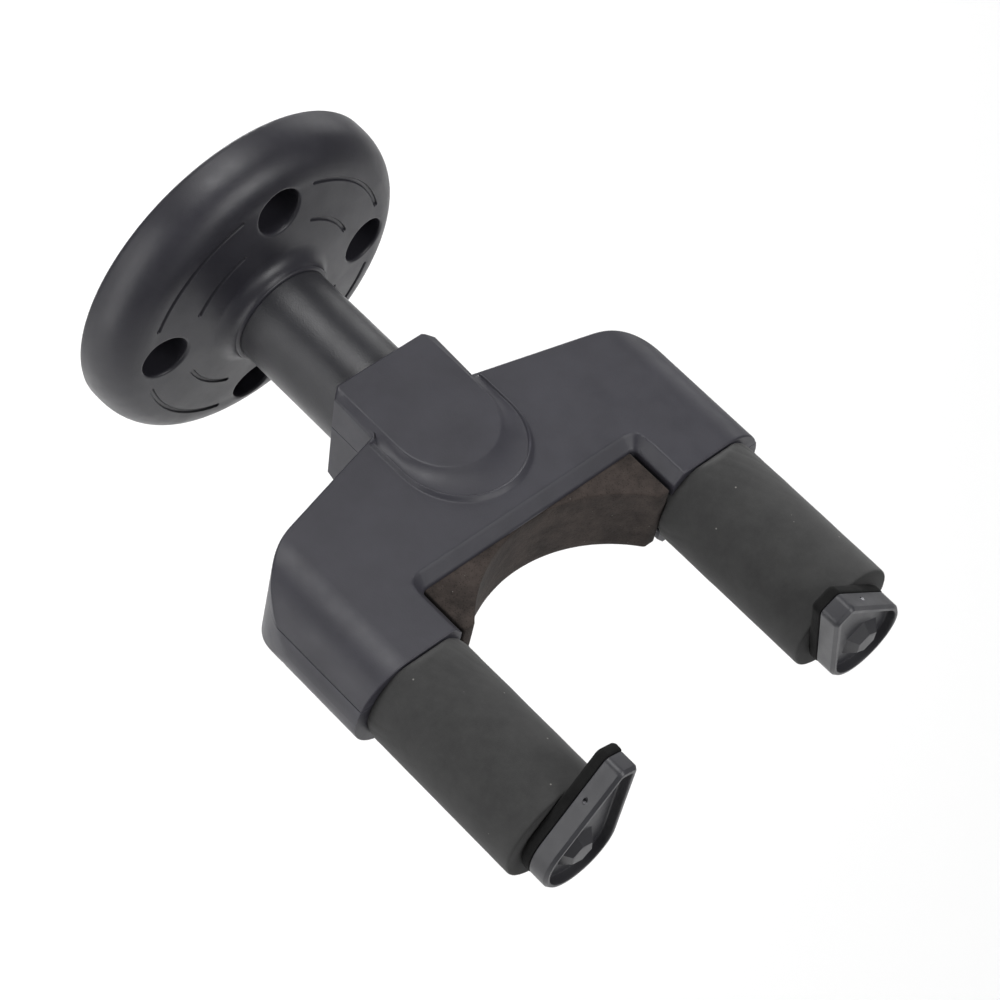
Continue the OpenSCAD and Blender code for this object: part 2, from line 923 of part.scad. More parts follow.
wall_plate();
stem_tube();
flange_screws();
pivot_block();
block_rivet();
drive_fork();
fork_screws();
upper_shell();
lower_shell();
shell_screws();
pivot_pin();
pivot_bushes();
return_spring();
neck_pad();
arm_tube(left);  // arm_tube_left
arm_tube(right);  // arm_tube_right
sleeve(left);  // sleeve_left
sleeve(right);  // sleeve_right
front_bush(left);  // front_bush_left
front_bush(right);  // front_bush_right
rear_bush(left);  // rear_bush_left
rear_bush(right);  // rear_bush_right
gate_shaft(left);  // gate_shaft_left
gate_shaft(right);  // gate_shaft_right
gate_tab(left);  // gate_tab_left
gate_tab(right);  // gate_tab_right
gate_pad(left);  // gate_pad_left
gate_pad(right);  // gate_pad_right
gate_crank(left);  // gate_crank_left
gate_crank(right);  // gate_crank_right
crank_pin(left);  // crank_pin_left
crank_pin(right);  // crank_pin_right
shaft_clip(left);  // shaft_clip_left
shaft_clip(right);  // shaft_clip_right
tab_pin(left);  // tab_pin_left
tab_pin(right);  // tab_pin_right
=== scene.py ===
"""Looks of the wall guitar hanger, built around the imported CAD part.

Lengths in this script are millimetres until a mesh is made. A point is (x, reach, z): reach is the
distance out from the wall, so y = -reach. The mouldings are relief meshes: a plane of points with
heights, triangulated between their feature lines, closed with a skirt and a cap, then hollowed.
"""

import json
import math

import bmesh
import bpy
from mathutils import Matrix, Vector, noise
from mathutils.geometry import delaunay_2d_cdt


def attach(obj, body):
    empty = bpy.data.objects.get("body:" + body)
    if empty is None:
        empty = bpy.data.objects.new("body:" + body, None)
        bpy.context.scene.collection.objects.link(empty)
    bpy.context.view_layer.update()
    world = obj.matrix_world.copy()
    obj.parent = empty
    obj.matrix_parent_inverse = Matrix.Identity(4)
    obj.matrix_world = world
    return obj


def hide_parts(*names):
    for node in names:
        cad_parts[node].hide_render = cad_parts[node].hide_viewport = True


MM = 0.001
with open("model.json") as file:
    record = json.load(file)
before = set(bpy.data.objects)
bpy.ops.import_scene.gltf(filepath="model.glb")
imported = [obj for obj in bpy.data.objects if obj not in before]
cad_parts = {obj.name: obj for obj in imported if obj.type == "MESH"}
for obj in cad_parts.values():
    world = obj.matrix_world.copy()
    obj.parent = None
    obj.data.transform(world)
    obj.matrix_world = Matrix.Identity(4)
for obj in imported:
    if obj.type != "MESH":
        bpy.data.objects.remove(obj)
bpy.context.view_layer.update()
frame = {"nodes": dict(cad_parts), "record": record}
NODES = frame["nodes"]


def sind(a):
    return math.sin(math.radians(a))


def cosd(a):
    return math.cos(math.radians(a))


def lerp(a, b, t):
    return a + (b - a) * t


def clamp(t):
    return max(0, min(1, t))


def steps(a, b, n):
    return [lerp(a, b, i / n) for i in range(n + 1)]


# ------------ dimensions

PLATE_R = 43.5
STEM_R = 12.7
STEM_BORE = 11.1
STEM_END = 62.0
ARM_X = 44.0
HALF_H = 13.0
SIDE_X = 48.2
SHOULDER_R = 21.0
SHOULDER_X = 40.2
SHOULDER = 92.98
REAR_ROOT = 65.1
REAR_SLOPE = math.tan(math.radians(14))
WALL_W = 15.2
FOOT_W = 16.95
FOOT_C = 77.4
LIP_W = 16.0
LIP_C = 76.4
BOSS_TOP_W = 13.2
BOSS_TOP_Z = 14.8
BOSS_REAR = 50.6
BOSS_RAKE = math.tan(math.radians(4.5))
TOP_C = 71.6
CORNER_W = 12.6
CORNER_D = 2.0
FRONT = 114.2
CUT_W = 32.3
CUT_REAR = 101.2
LOW_CUT = 99.7
CHAMFER_W = 2.5
CHAMFER_H = 3.0
PART_Z = 4.5
SEAM = 0.08
SLEEVE_END = 158.5
GATE_R = 10.4
GATE_LEN = 25.6
GATE_TIP_R = 1.7
GATE_TIP_HALF = 1.5
GATE_TURN = {"left": 71.0, "right": 57.0}
GATE_BACK = 161.3
GATE_FRONT = 166.4
PAD_BACK = 158.6

# ------------ materials


class Nodes:
    """A short way to write a node material."""

    def __init__(self, name):
        self.mat = bpy.data.materials.new(name)
        self.mat.use_nodes = True
        self.tree = self.mat.node_tree
        self.tree.nodes.clear()
        self.out = self.add("ShaderNodeOutputMaterial")
        self.bsdf = self.add("ShaderNodeBsdfPrincipled")
        self.link(self.bsdf, "BSDF", self.out, "Surface")
        self.coord = self.add("ShaderNodeTexCoord")

    def add(self, kind, **values):
        node = self.tree.nodes.new(kind)
        for key, value in values.items():
            setattr(node, key, value)
        return node

    def link(self, a, out, b, into):
        self.tree.links.new(a.outputs[out], b.inputs[into])

    def noise(self, scale, detail=4.0, rough=0.5, stretch=None):
        node = self.add("ShaderNodeTexNoise")
        node.inputs["Scale"].default_value = scale
        node.inputs["Detail"].default_value = detail
        node.inputs["Roughness"].default_value = rough
        if stretch is None:
            self.link(self.coord, "Object", node, "Vector")
        else:
            mapping = self.add("ShaderNodeMapping")
            mapping.inputs["Scale"].default_value = stretch
            self.link(self.coord, "Object", mapping, "Vector")
            self.link(mapping, "Vector", node, "Vector")
        return node

    def ramp(self, source, socket, low, high, out_low, out_high):
        node = self.add("ShaderNodeMapRange")
        node.inputs["From Min"].default_value = low
        node.inputs["From Max"].default_value = high
        node.inputs["To Min"].default_value = out_low
        node.inputs["To Max"].default_value = out_high
        self.link(source, socket, node, "Value")
        return node

    def mix(self, source, socket, dark, light):
        node = self.add("ShaderNodeMix", data_type="RGBA")
        node.inputs[6].default_value = (*dark, 1)
        node.inputs[7].default_value = (*light, 1)
        self.link(source, socket, node, 0)
        return node

    def bump(self, source, socket, distance, strength=1.0, previous=None):
        node = self.add("ShaderNodeBump")
        node.inputs["Strength"].default_value = strength
        node.inputs["Distance"].default_value = distance * MM
        self.link(source, socket, node, "Height")
        if previous is not None:
            self.link(previous, "Normal", node, "Normal")
        return node


def plastic(name, dark, light, rough, grain=0.012, grain_scale=4200, wear=0.35):
    """Satin moulded plastic: fine spark-eroded grain, faint mottling, edges rubbed a little brighter."""
    m = Nodes(name)
    mottle = m.noise(70, 5, 0.6)
    tone = m.ramp(mottle, "Fac", 0.3, 0.7, 0, 1)
    colour = m.mix(tone, "Result", dark, light)
    geo = m.add("ShaderNodeNewGeometry")
    edge = m.ramp(geo, "Pointiness", 0.52, 0.62, 0, wear)
    scuff = m.noise(420, 3, 0.7)
    worn = m.add("ShaderNodeMath", operation="MULTIPLY")
    m.link(edge, "Result", worn, 0)
    m.link(scuff, "Fac", worn, 1)
    rub = m.add("ShaderNodeMix", data_type="RGBA")
    m.link(worn, "Value", rub, 0)
    m.link(colour, 2, rub, 6)
    rub.inputs[7].default_value = (*[min(1, 3.2 * c) for c in light], 1)
    m.link(rub, 2, m.bsdf, "Base Color")
    fine = m.noise(grain_scale, 2, 0.6)
    cloud = m.noise(160, 4, 0.6)
    r = m.ramp(cloud, "Fac", 0.3, 0.7, rough - 0.05, rough + 0.06)
    m.link(r, "Result", m.bsdf, "Roughness")
    wave = m.noise(60, 2, 0.4)
    soft = m.bump(wave, "Fac", 0.05, 0.6)
    fine_bump = m.bump(fine, "Fac", grain, 1.0, soft)
    m.link(fine_bump, "Normal", m.bsdf, "Normal")
    m.bsdf.inputs["Specular IOR Level"].default_value = 0.5
    return m.mat


def foam(name, dark, light, cell, depth, rough=0.85, pores=0.25, dust=0, shine=0.35, cut=0):
    """Closed-cell foam: mottling, fine cells, open pores, specks of dust, and painted shade on the sleeve's
    square end face.
    """
    m = Nodes(name)
    mottle = m.noise(150, 6, 0.7)
    tone = m.ramp(mottle, "Fac", 0.35, 0.65, 0, 1)
    colour = m.mix(tone, "Result", dark, light)
    cells = m.add("ShaderNodeTexVoronoi")
    cells.inputs["Scale"].default_value = cell
    m.link(m.coord, "Object", cells, "Vector")
    speck = m.ramp(cells, "Distance", 0.0, 0.35, 1 - pores, 1)
    shade = m.add("ShaderNodeMix", data_type="RGBA", blend_type="MULTIPLY")
    shade.inputs[0].default_value = 1
    m.link(colour, 2, shade, 6)
    m.link(speck, "Result", shade, 7)
    last = shade
    if dust:
        grit = m.add("ShaderNodeTexVoronoi")
        grit.inputs["Scale"].default_value = dust
        m.link(m.coord, "Object", grit, "Vector")
        near = m.ramp(grit, "Distance", 0.03, 0.055, 0.7, 0)
        last = m.add("ShaderNodeMix", data_type="RGBA")
        m.link(near, "Result", last, 0)
        m.link(shade, 2, last, 6)
        last.inputs[7].default_value = (0.30, 0.29, 0.27, 1)
    # Painted shade: within half a millimetre of reach cut (the sleeve's square end), the colour is multiplied
    # down to 0.3. This stands in for the shade on the end face.
    if cut:
        axis = m.add("ShaderNodeSeparateXYZ")
        m.link(m.coord, "Object", axis, "Vector")
        face = m.ramp(axis, "Y", -cut * MM, (0.5 - cut) * MM, 0.3, 1)
        painted_end_shade = m.add("ShaderNodeMix", data_type="RGBA", blend_type="MULTIPLY")
        painted_end_shade.inputs[0].default_value = 1
        m.link(last, 2, painted_end_shade, 6)
        m.link(face, "Result", painted_end_shade, 7)
        last = painted_end_shade
    m.link(last, 2, m.bsdf, "Base Color")
    m.bsdf.inputs["Roughness"].default_value = rough
    m.bsdf.inputs["Specular IOR Level"].default_value = shine
    m.bsdf.inputs["Sheen Weight"].default_value = 0.4 * shine
    m.bsdf.inputs["Sheen Roughness"].default_value = 0.6
    broad = m.noise(220, 4, 0.6)
    a = m.bump(broad, "Fac", depth * 4, 0.7)
    b = m.bump(cells, "Distance", depth, 0.9, a)
    m.link(b, "Normal", m.bsdf, "Normal")
    return m.mat


def metal(name, colour, rough, stretch=(1, 1, 1), dull=0.7):
    """Plain worked metal: drawn or turned scratches and a slightly uneven tarnish."""
    m = Nodes(name)
    stain = m.noise(140, 5, 0.6)
    tone = m.ramp(stain, "Fac", 0.3, 0.7, 0, 1)
    mix = m.mix(tone, "Result", [c * dull for c in colour], colour)
    m.link(mix, 2, m.bsdf, "Base Color")
    m.bsdf.inputs["Metallic"].default_value = 1.0
    scratch = m.noise(900, 3, 0.6, stretch)
    r = m.ramp(scratch, "Fac", 0.3, 0.7, rough - 0.08, rough + 0.1)
    m.link(r, "Result", m.bsdf, "Roughness")
    b = m.bump(scratch, "Fac", 0.02, 0.5)
    m.link(b, "Normal", m.bsdf, "Normal")
    return m.mat


RECIPES = {
    "plate_plastic": (plastic, (0.021, 0.0205, 0.0265), (0.030, 0.029, 0.037), 0.38, 0.022, 3000),
    "shell_plastic": (plastic, (0.0305, 0.0296, 0.038), (0.041, 0.040, 0.051), 0.46, 0.020, 2800),
    "gate_plastic": (plastic, (0.036, 0.036, 0.041), (0.048, 0.048, 0.054), 0.40, 0.010),
    "stem_paint": (plastic, (0.024, 0.024, 0.028), (0.034, 0.034, 0.039), 0.34, 0.045, 2600),
    "sleeve_foam": (
        # The last value, SLEEVE_END, sets where the painted end-face shade starts.
        foam, (0.031, 0.031, 0.031), (0.043, 0.043, 0.0425), 5200, 0.012, 0.85, 0.25, 220, 0.35, SLEEVE_END
    ),
    "pad_foam": (foam, (0.030, 0.024, 0.0215), (0.068, 0.054, 0.048), 1900, 0.06, 0.9, 0.7, 420, 0.15),
    "gate_rubber": (foam, (0.009, 0.009, 0.009), (0.015, 0.015, 0.015), 4200, 0.012, 0.8, 0.25, 0, 0.06),
    "bush_plastic": (plastic, (0.012, 0.012, 0.012), (0.018, 0.018, 0.018), 0.3, 0.004),
    "block_alloy": (metal, (0.62, 0.63, 0.64), 0.42),
    "arm_alloy": (metal, (0.66, 0.67, 0.68), 0.3, (4, 0.3, 4)),
    "screw_steel": (metal, (0.56, 0.57, 0.59), 0.28, (1, 0.4, 1)),
    "fork_steel": (metal, (0.50, 0.50, 0.48), 0.38),
    "spring_steel": (metal, (0.62, 0.63, 0.64), 0.25),
    "clip_steel": (metal, (0.16, 0.16, 0.17), 0.4),
}
MATS = {name: make(name, *values) for name, (make, *values) in RECIPES.items()}

# ------------ mesh helpers


def to_metres(p):
    return Vector((p[0] * MM, -p[1] * MM, p[2] * MM))


def make_mesh(name, points, faces, slot, sharp=38.0, keep_scale=False):
    mesh = bpy.data.meshes.new(name)
    mesh.from_pydata([p if keep_scale else to_metres(p) for p in points], [], faces)
    mesh.validate()
    obj = bpy.data.objects.new(name, mesh)
    bpy.context.scene.collection.objects.link(obj)
    tidy(obj)
    dress(obj, slot, sharp)
    return obj


def tidy(obj):
    """Welds doubles and points every face outwards."""
    bm = bmesh.new()
    bm.from_mesh(obj.data)
    bmesh.ops.remove_doubles(bm, verts=bm.verts, dist=2e-6)
    bmesh.ops.dissolve_degenerate(bm, edges=bm.edges, dist=1e-7)
    bmesh.ops.recalc_face_normals(bm, faces=bm.faces)
    if bm.calc_volume(signed=True) < 0:
        bmesh.ops.reverse_faces(bm, faces=bm.faces)
    bm.to_mesh(obj.data)
    bm.free()


def dress(obj, slot, sharp=38.0):
    obj.data.materials.clear()
    obj.data.materials.append(MATS[slot])
    obj.data.shade_smooth()
    obj.data.set_sharp_from_angle(angle=math.radians(sharp))


def weigh_normals(obj):
    mod = obj.modifiers.new("weigh", "WEIGHTED_NORMAL")
    mod.keep_sharp = True
    apply_modifiers(obj)


def apply_modifiers(obj):
    graph = bpy.context.evaluated_depsgraph_get()
    mesh = bpy.data.meshes.new_from_object(obj.evaluated_get(graph))
    obj.modifiers.clear()
    old = obj.data
    obj.data = mesh
    bpy.data.meshes.remove(old)


def carve(obj, cutters, operation="DIFFERENCE"):
    """Exact booleans with throw-away cutters."""
    for cutter in cutters:
        mod = obj.modifiers.new("cut", "BOOLEAN")
        mod.operation = operation
        mod.solver = "EXACT"
        mod.object = cutter
    apply_modifiers(obj)
    for cutter in cutters:
        bpy.data.objects.remove(cutter)
    return obj


def plain(name, points, faces):
    mesh = bpy.data.meshes.new(name)
    mesh.from_pydata([to_metres(p) for p in points], [], faces)
    obj = bpy.data.objects.new(name, mesh)
    bpy.context.scene.collection.objects.link(obj)
    tidy(obj)
    return obj


def cutter_box(x0, x1, r0, r1, z0, z1):
    pts = [(x, r, z) for x in (x0, x1) for r in (r0, r1) for z in (z0, z1)]
    faces = [(0, 1, 3, 2), (4, 6, 7, 5), (0, 4, 5, 1), (2, 3, 7, 6), (0, 2, 6, 4), (1, 5, 7, 3)]
    return plain("cut", pts, faces)


def prism(outline, r0, r1, place):
    """A closed prism of a 2D outline between two levels; place(a, b, level) gives a point."""
    n = len(outline)
    pts = [place(a, b, r0) for a, b in outline] + [place(a, b, r1) for a, b in outline]
    faces = [(i, (i + 1) % n, n + (i + 1) % n, n + i) for i in range(n)]
    faces += [tuple(range(n)), tuple(range(2 * n - 1, n - 1, -1))]
    return plain("cut", pts, faces)


def circle(cx, cy, r, n, start=0.0):
    return [(cx + r * cosd(start + 360 * i / n), cy + r * sind(start + 360 * i / n)) for i in range(n)]


def cutter_bar(cx, cz, r, r0, r1, n=64):
    return prism(circle(cx, cz, r, n, 1.3), r0, r1, lambda a, b, t: (a, t, b))


def cutter_post(cx, reach, r, z0, z1, n=48):
    return prism(circle(cx, reach, r, n, 1.3), z0, z1, lambda a, b, t: (a, b, t))


def lathe_points(profile, n, centre=(0, 0), warp=None):
    """Points of a profile of (radius, reach) turned about the reach direction."""
    pts = []
    for r, reach in profile:
        for i in range(n):
            a = 360 * i / n
            x, z, y = centre[0] + r * cosd(a), centre[1] + r * sind(a), reach
            pts.append(warp(x, y, z, r, a) if warp else (x, y, z))
    return pts


def lathe(name, profile, slot, n=128, centre=(0, 0), closed=True, warp=None, sharp=38.0):
    """A turned piece. A closed profile gives a ring; an open one is capped at both ends."""
    pts = lathe_points(profile, n, centre, warp)
    rows = len(profile)
    faces = []
    for k in range(rows if closed else rows - 1):
        a, b = k * n, ((k + 1) % rows) * n
        faces += [(a + i, a + (i + 1) % n, b + (i + 1) % n, b + i) for i in range(n)]
    if not closed:
        faces += [tuple(range(n)), tuple(range((rows - 1) * n, rows * n))]
    return make_mesh(name, pts, faces, slot, sharp)


# ------------ relief meshes


def winding(loop):
    return sum(a[0] * b[1] - b[0] * a[1] for a, b in zip(loop, loop[1:] + loop[:1]))


def inset_loop(loop, d):
    """The loop moved inwards by d, each corner along its mean normal."""
    n = len(loop)
    side = 1 if winding([(p[0], p[1]) for p in loop]) > 0 else -1
    out = []
    for i in range(n):
        ax, ay = loop[i - 1][:2]
        bx, by = loop[i][:2]
        cx, cy = loop[(i + 1) % n][:2]
        n1 = Vector((ay - by, bx - ax)).normalized()
        n2 = Vector((by - cy, cx - bx)).normalized()
        m = n1 + n2
        if m.length < 1e-6:
            m = n1
        m.normalize()
        k = min(1.6, 1 / max(0.3, m.dot(n1)))
        out.append((bx + side * m.x * d * k, by + side * m.y * d * k))
    return out


def inside(loop, x, y):
    hit = False
    n = len(loop)
    for i in range(n):
        ax, ay = loop[i][:2]
        bx, by = loop[(i + 1) % n][:2]
        if (ay > y) != (by > y) and x < (bx - ax) * (y - ay) / (by - ay) + ax:
            hit = not hit
    return hit


def distance(loop, x, y, closed=True):
    best = 1e9
    n = len(loop)
    for i in range(n if closed else n - 1):
        ax, ay = loop[i][:2]
        bx, by = loop[(i + 1) % n][:2]
        dx, dy = bx - ax, by - ay
        t = clamp(((x - ax) * dx + (y - ay) * dy) / (dx * dx + dy * dy + 1e-12))
        best = min(best, math.hypot(x - ax - t * dx, y - ay - t * dy))
    return best


class Relief:
    """Points on a plane with heights, joined by a constrained triangulation."""

    def __init__(self):
        self.xy, self.h, self.edges = [], [], []

    def point(self, x, y, h):
        self.xy.append(Vector((x, y)))
        self.h.append(h)
        return len(self.xy) - 1

    def ring(self, points, closed=True, tie=True):
        ids = [self.point(*p) for p in points]
        if tie:
            self.edges += list(zip(ids, ids[1:]))
            if closed:
                self.edges.append((ids[-1], ids[0]))
        return ids

    def triangles(self, outline):
        """Triangles inside the outline, in terms of this relief's own points."""
        verts, _, faces, origin, _, _ = delaunay_2d_cdt(self.xy, self.edges, [outline], 1, 1e-6)
        ids = []
        for v, src in zip(verts, origin):
            if src:
                ids.append(src[0])
            else:
                near = min(range(len(self.xy)), key=lambda i: (self.xy[i] - v).length_squared)
                ids.append(self.point(v.x, v.y, self.h[near]))
        return [tuple(ids[i] for i in f) for f in faces]


def relief_body(name, relief, outline, place, skirt, slot, sharp=38.0):
    """A closed body: the relief, a skirt through the loops in skirt, and a flat cap on the last."""
    tris = relief.triangles(outline)
    pts = [place(p.x, p.y, h) for p, h in zip(relief.xy, relief.h)]
    faces = list(tris)
    n = len(outline)
    previous = list(outline)
    for loop in skirt:
        base = len(pts)
        pts += loop
        now = list(range(base, base + n))
        faces += [(previous[i], previous[(i + 1) % n], now[(i + 1) % n], now[i]) for i in range(n)]
        previous = now
    flat = [Vector((pts[i][0], pts[i][1])) for i in previous]
    if name == "wall_plate_body":
        flat = [Vector((pts[i][0], pts[i][2])) for i in previous]
    if name.startswith("gate"):
        flat = [relief.xy[i] for i in outline]
    ring = list(range(n))
    _, _, cap, origin, _, _ = delaunay_2d_cdt(flat, [], [ring], 1, 1e-7)
    faces += [tuple(previous[origin[i][0]] for i in f) for f in cap]
    return make_mesh(name, pts, faces, slot, sharp)


# ------------ wall plate

FACE_IN_H = 15.3
FLARE = 3.6
COLLAR_R = 13.8
DOME_R, DOME_H, DOME_W, DOME_T = 34.0, 2.5, 9.5, 11.0
UNFOLD = 38.5
FULL = 2.2


def dome_height(r):
    k = max(0, (r - DOME_R) / DOME_W)
    return DOME_H + DOME_T * max(0, 1 - k ** FULL) ** (1 / FULL)


def face_height(r):
    """Reach of the plate's face at a radius: collar, tight flare, shallow cone, domed rim."""
    if r <= 13.3:
        return 20.0
    cone = FACE_IN_H - (r - 20.5) * 0.133
    if r < COLLAR_R + FLARE:
        k = (COLLAR_R + FLARE - r) / FLARE
        return cone + FLARE * (1 - math.sqrt(max(0, 1 - min(1, k) ** 2)))
    if r < DOME_R - 2:
        return cone
    t = min(1, (r - DOME_R + 2) / 4)
    t = t * t * (3 - 2 * t)
    return lerp(cone, dome_height(r), t) if r < DOME_R + 2 else dome_height(r)


def build_plate():
    rel = Relief()
    # (plane radius, real radius, reach) of every ring: beyond UNFOLD the plane radius is an arc length
    rings = [(r, r, 20.0) for r in (4, 8, 11, 12.2, 13.0)]
    rings += [(13.25, 13.25, 19.98), (13.45, 13.45, 19.88), (13.62, 13.62, 19.7), (13.72, 13.72, 19.45)]
    rings += [(13.77, 13.77, 19.15)]
    for a in steps(82, 0, 14):
        r = COLLAR_R + FLARE * (1 - sind(a))
        rings.append((r, r, face_height(r)))
    face_rings = [18.3, 19.3, 20.4, 21.6, 22.7, 23.9, 25.1, 26.3, 27.5, 28.7]
    face_rings += [30, 31.2, 32.3, 33.3, 34.2, 35, 36, 37, 38]
    outer = []
    k0 = math.degrees(math.acos(((UNFOLD - DOME_R) / DOME_W) ** (FULL / 2)))
    plane = UNFOLD
    last = (UNFOLD, face_height(UNFOLD))
    outer.append((plane, *last))
    bend = [(max(0, cosd(a)) ** (2 / FULL), max(0, sind(a)) ** (2 / FULL)) for a in steps(k0, 0, 16)[1:]]
    profile = [(DOME_R + DOME_W * c, DOME_H + DOME_T * t) for c, t in bend]
    profile += [(PLATE_R, 1.3), (PLATE_R - 0.02, 0.5), (PLATE_R - 0.22, 0.12)]
    for r, h in profile:
        plane += max(0.15, math.hypot(r - last[0], h - last[1]))
        last = (r, h)
        outer.append((plane, r, h))

    def place(x, z, h):
        s = math.hypot(x, z)
        if s <= UNFOLD:
            return (x, h, z)
        for a, b in zip(outer, outer[1:]):
            if s <= b[0] + 1e-4:
                t = (s - a[0]) / (b[0] - a[0])
                r = lerp(a[1], b[1], t)
                return (x * r / s, h, z * r / s)
        r = outer[-1][1]
        return (x * r / s, h, z * r / s)

    centres = [(30 * cosd(90 * i), 30 * sind(90 * i)) for i in range(4)]
    grooves = []
    for i in range(4):
        for rg, span in ((34.2, 54), (23.9, 40)):
            grooves.append((rg, 45 + 90 * i, span))

    def clear(x, z):
        if any(math.hypot(x - cx, z - cz) < 7.1 for cx, cz in centres):
            return False
        r, a = math.hypot(x, z), math.degrees(math.atan2(z, x)) % 360
        for rg, mid, span in grooves:
            off = abs((a - mid + 180) % 360 - 180)
            if abs(r - rg) < 1.1 and off < span / 2 + 70 / rg:
                return False
        return True

    rel.point(0, 0, 20.0)
    for s, _, h in rings:
        n = max(24, int(s * 6.4))
        rel.ring([(x, z, h) for x, z in circle(0, 0, s, n)])
    for k, r in enumerate(face_rings):
        n = int(r * 6)
        for x, z in circle(0, 0, r, n, 180 / n * (k % 2)):
            if clear(x, z):
                rel.point(x, z, face_height(r))
    for s, _, h in outer:
        edge = rel.ring([(x, z, h) for x, z in circle(0, 0, s, 264)])
    floor = 6.0
    for cx, cz in centres:
        well = [(6.8, 0), (6.55, 0.0), (6.33, 0.05), (6.16, 0.15), (6.02, 0.32), (5.94, 0.55), (5.9, 0.85)]
        for rr, drop in well:
            rel.ring([(x, z, face_height(math.hypot(x, z)) - drop) for x, z in circle(cx, cz, rr, 84)])
        for t in (0.3, 0.65, 1.0):
            rr = lerp(5.88, 5.78, t)
            pts = []
            for x, z in circle(cx, cz, rr, 84):
                top = face_height(math.hypot(x, z)) - 0.9
                pts.append((x, z, lerp(top, floor + 0.5, t)))
            rel.ring(pts)
        for rr, h in ((5.68, floor + 0.2), (5.45, floor + 0.03), (5.1, floor), (4.2, floor), (3.3, floor)):
            rel.ring([(x, z, h) for x, z in circle(cx, cz, rr, 60)])
        rel.point(cx, cz, floor)
    for rg, mid, span in grooves:
        for e, drop in ((0.85, 0), (0.64, 0.0), (0.54, 0.08), (0.46, 0.26), (0.36, 0.48), (0.18, 0.56)):
            loop = []
            n = int(span / 1.6)
            for a in steps(mid - span / 2, mid + span / 2, n):
                loop.append(((rg + e) * cosd(a), (rg + e) * sind(a)))
            for end, first in ((mid + span / 2, 0), (mid - span / 2, 180)):
                cx, cz = rg * cosd(end), rg * sind(end)
                for b in steps(first, first + 180, 8)[1:-1]:
                    loop.append((cx + e * cosd(end + b), cz + e * sind(end + b)))
                if first == 0:
                    for a in steps(mid + span / 2, mid - span / 2, n):
                        loop.append(((rg - e) * cosd(a), (rg - e) * sind(a)))
            rel.ring([(x, z, face_height(math.hypot(x, z)) - drop) for x, z in loop])
        for a in steps(mid - span / 2, mid + span / 2, int(span / 1.6)):
            rel.point(rg * cosd(a), rg * sind(a), face_height(rg) - 0.57)
    back = []
    for i in edge:
        x, _, z = place(rel.xy[i].x, rel.xy[i].y, 0)
        k = (PLATE_R - 0.4) / math.hypot(x, z)
        back.append((x * k, 0.0, z * k))
    body = relief_body("wall_plate_body", rel, edge, place, [back], "plate_plastic")

    # the hollow back, with its ribs, screw pillars and hub
    inner = PLATE_R - 3
    hollow = [(23, -1), (inner, -1), (inner, 2.5)]
    hollow += [(DOME_R - 3 + DOME_W * cosd(a), 2.5 + 8.5 * sind(a)) for a in steps(0, 90, 8)][1:]
    hollow.append((23, 11.0))
    cavity = lathe("cavity", hollow, "plate_plastic", 96)
    pillars = [cutter_bar(cx, cz, 7.9, -2, 30, 48) for cx, cz in centres]
    ribs = []
    for i in range(4):
        a = 45 + 90 * i
        corners = ((20, -1), (44, -1), (44, 1), (20, 1))
        quad = [(c * cosd(a) - s * sind(a), c * sind(a) + s * cosd(a)) for c, s in corners]
        ribs.append(prism(quad, 3, 30, lambda p, q, t: (p, t, q)))
    carve(cavity, pillars + ribs)
    cuts = [cavity, cutter_bar(0, 0, STEM_R + 0.06, -2, 40, 128), cutter_bar(0, 0, 20.05, -2, 6.0, 96)]
    cuts += [cutter_bar(cx, cz, 2.75, -2, 8, 40) for cx, cz in centres]
    carve(body, cuts)
    dress(body, "plate_plastic", 32)
    weigh_normals(body)
    return body


# ------------ yoke shells


def section_z(x):
    """Half thickness of the yoke at x."""
    k = max(0, abs(x) - SIDE_X)
    return math.sqrt(max(0, HALF_H * HALF_H - k * k))


def chamfer(x, reach, back=CUT_REAR):
    """How far the neck cut-out's bevel lowers the surface."""
    u = (CUT_W + CHAMFER_W - abs(x)) * CHAMFER_H / CHAMFER_W
    v = reach - back + CHAMFER_H
    m = min(u, v)
    if m < -6:
        return 0
    k = lerp(6.0, 2.0, clamp(m / 3))
    h = max(k - abs(u - v), 0) / k
    return max(0, min(CHAMFER_H, m - h * h * k / 4))


def wall_top(reach):
    """Height of the top edge of the boss's side wall."""
    run = REAR_ROOT - BOSS_REAR - CORNER_D
    return lerp(13.75, 13.02, clamp((reach - BOSS_REAR - CORNER_D) / run))


def band_fall(s, reach):
    """The boss's sloping band: 0 at its top edge, 1 at its foot. It grows hollow towards the front."""
    t = clamp((reach - REAR_ROOT) / 8)
    return lerp(s, 1 - (1 - s) ** 2.8, t)


def boss_z(x, reach):
    """Height of the boss behind the yoke's rear edge."""
    s = clamp((abs(x) - BOSS_TOP_W) / (WALL_W - BOSS_TOP_W))
    return BOSS_TOP_Z - (BOSS_TOP_Z - wall_top(reach)) * s


def top_z(x, reach):
    if reach < REAR_ROOT:
        return boss_z(x, reach)
    return section_z(x) - chamfer(x, reach)


def fillet_drop(d, r):
    return 0 if d >= r else r - math.sqrt(max(0, r * r - (r - d) ** 2))


def both_halves(half):
    """A full loop from its right half, which runs from one point on x = 0 to another."""
    return half + [(-p[0], *p[1:]) for p in reversed(half) if abs(p[0]) > 1e-6]


def wing_half(limit_angle, last_x):
    """Right half of the plan from the boss corner to the outer side's front end."""
    half = []
    tangent_x = SHOULDER_X + SHOULDER_R * sind(14)
    for x in steps(WALL_W, tangent_x, 24):
        half.append((x, REAR_ROOT + (x - WALL_W) * REAR_SLOPE))
    for a in steps(76, limit_angle, 24)[1:]:
        half.append((SHOULDER_X + SHOULDER_R * cosd(a), SHOULDER - SHOULDER_R * sind(a)))
    start = half[-1][1]
    for reach in steps(start, FRONT, 14)[1:]:
        half.append((last_x, reach))
    return half


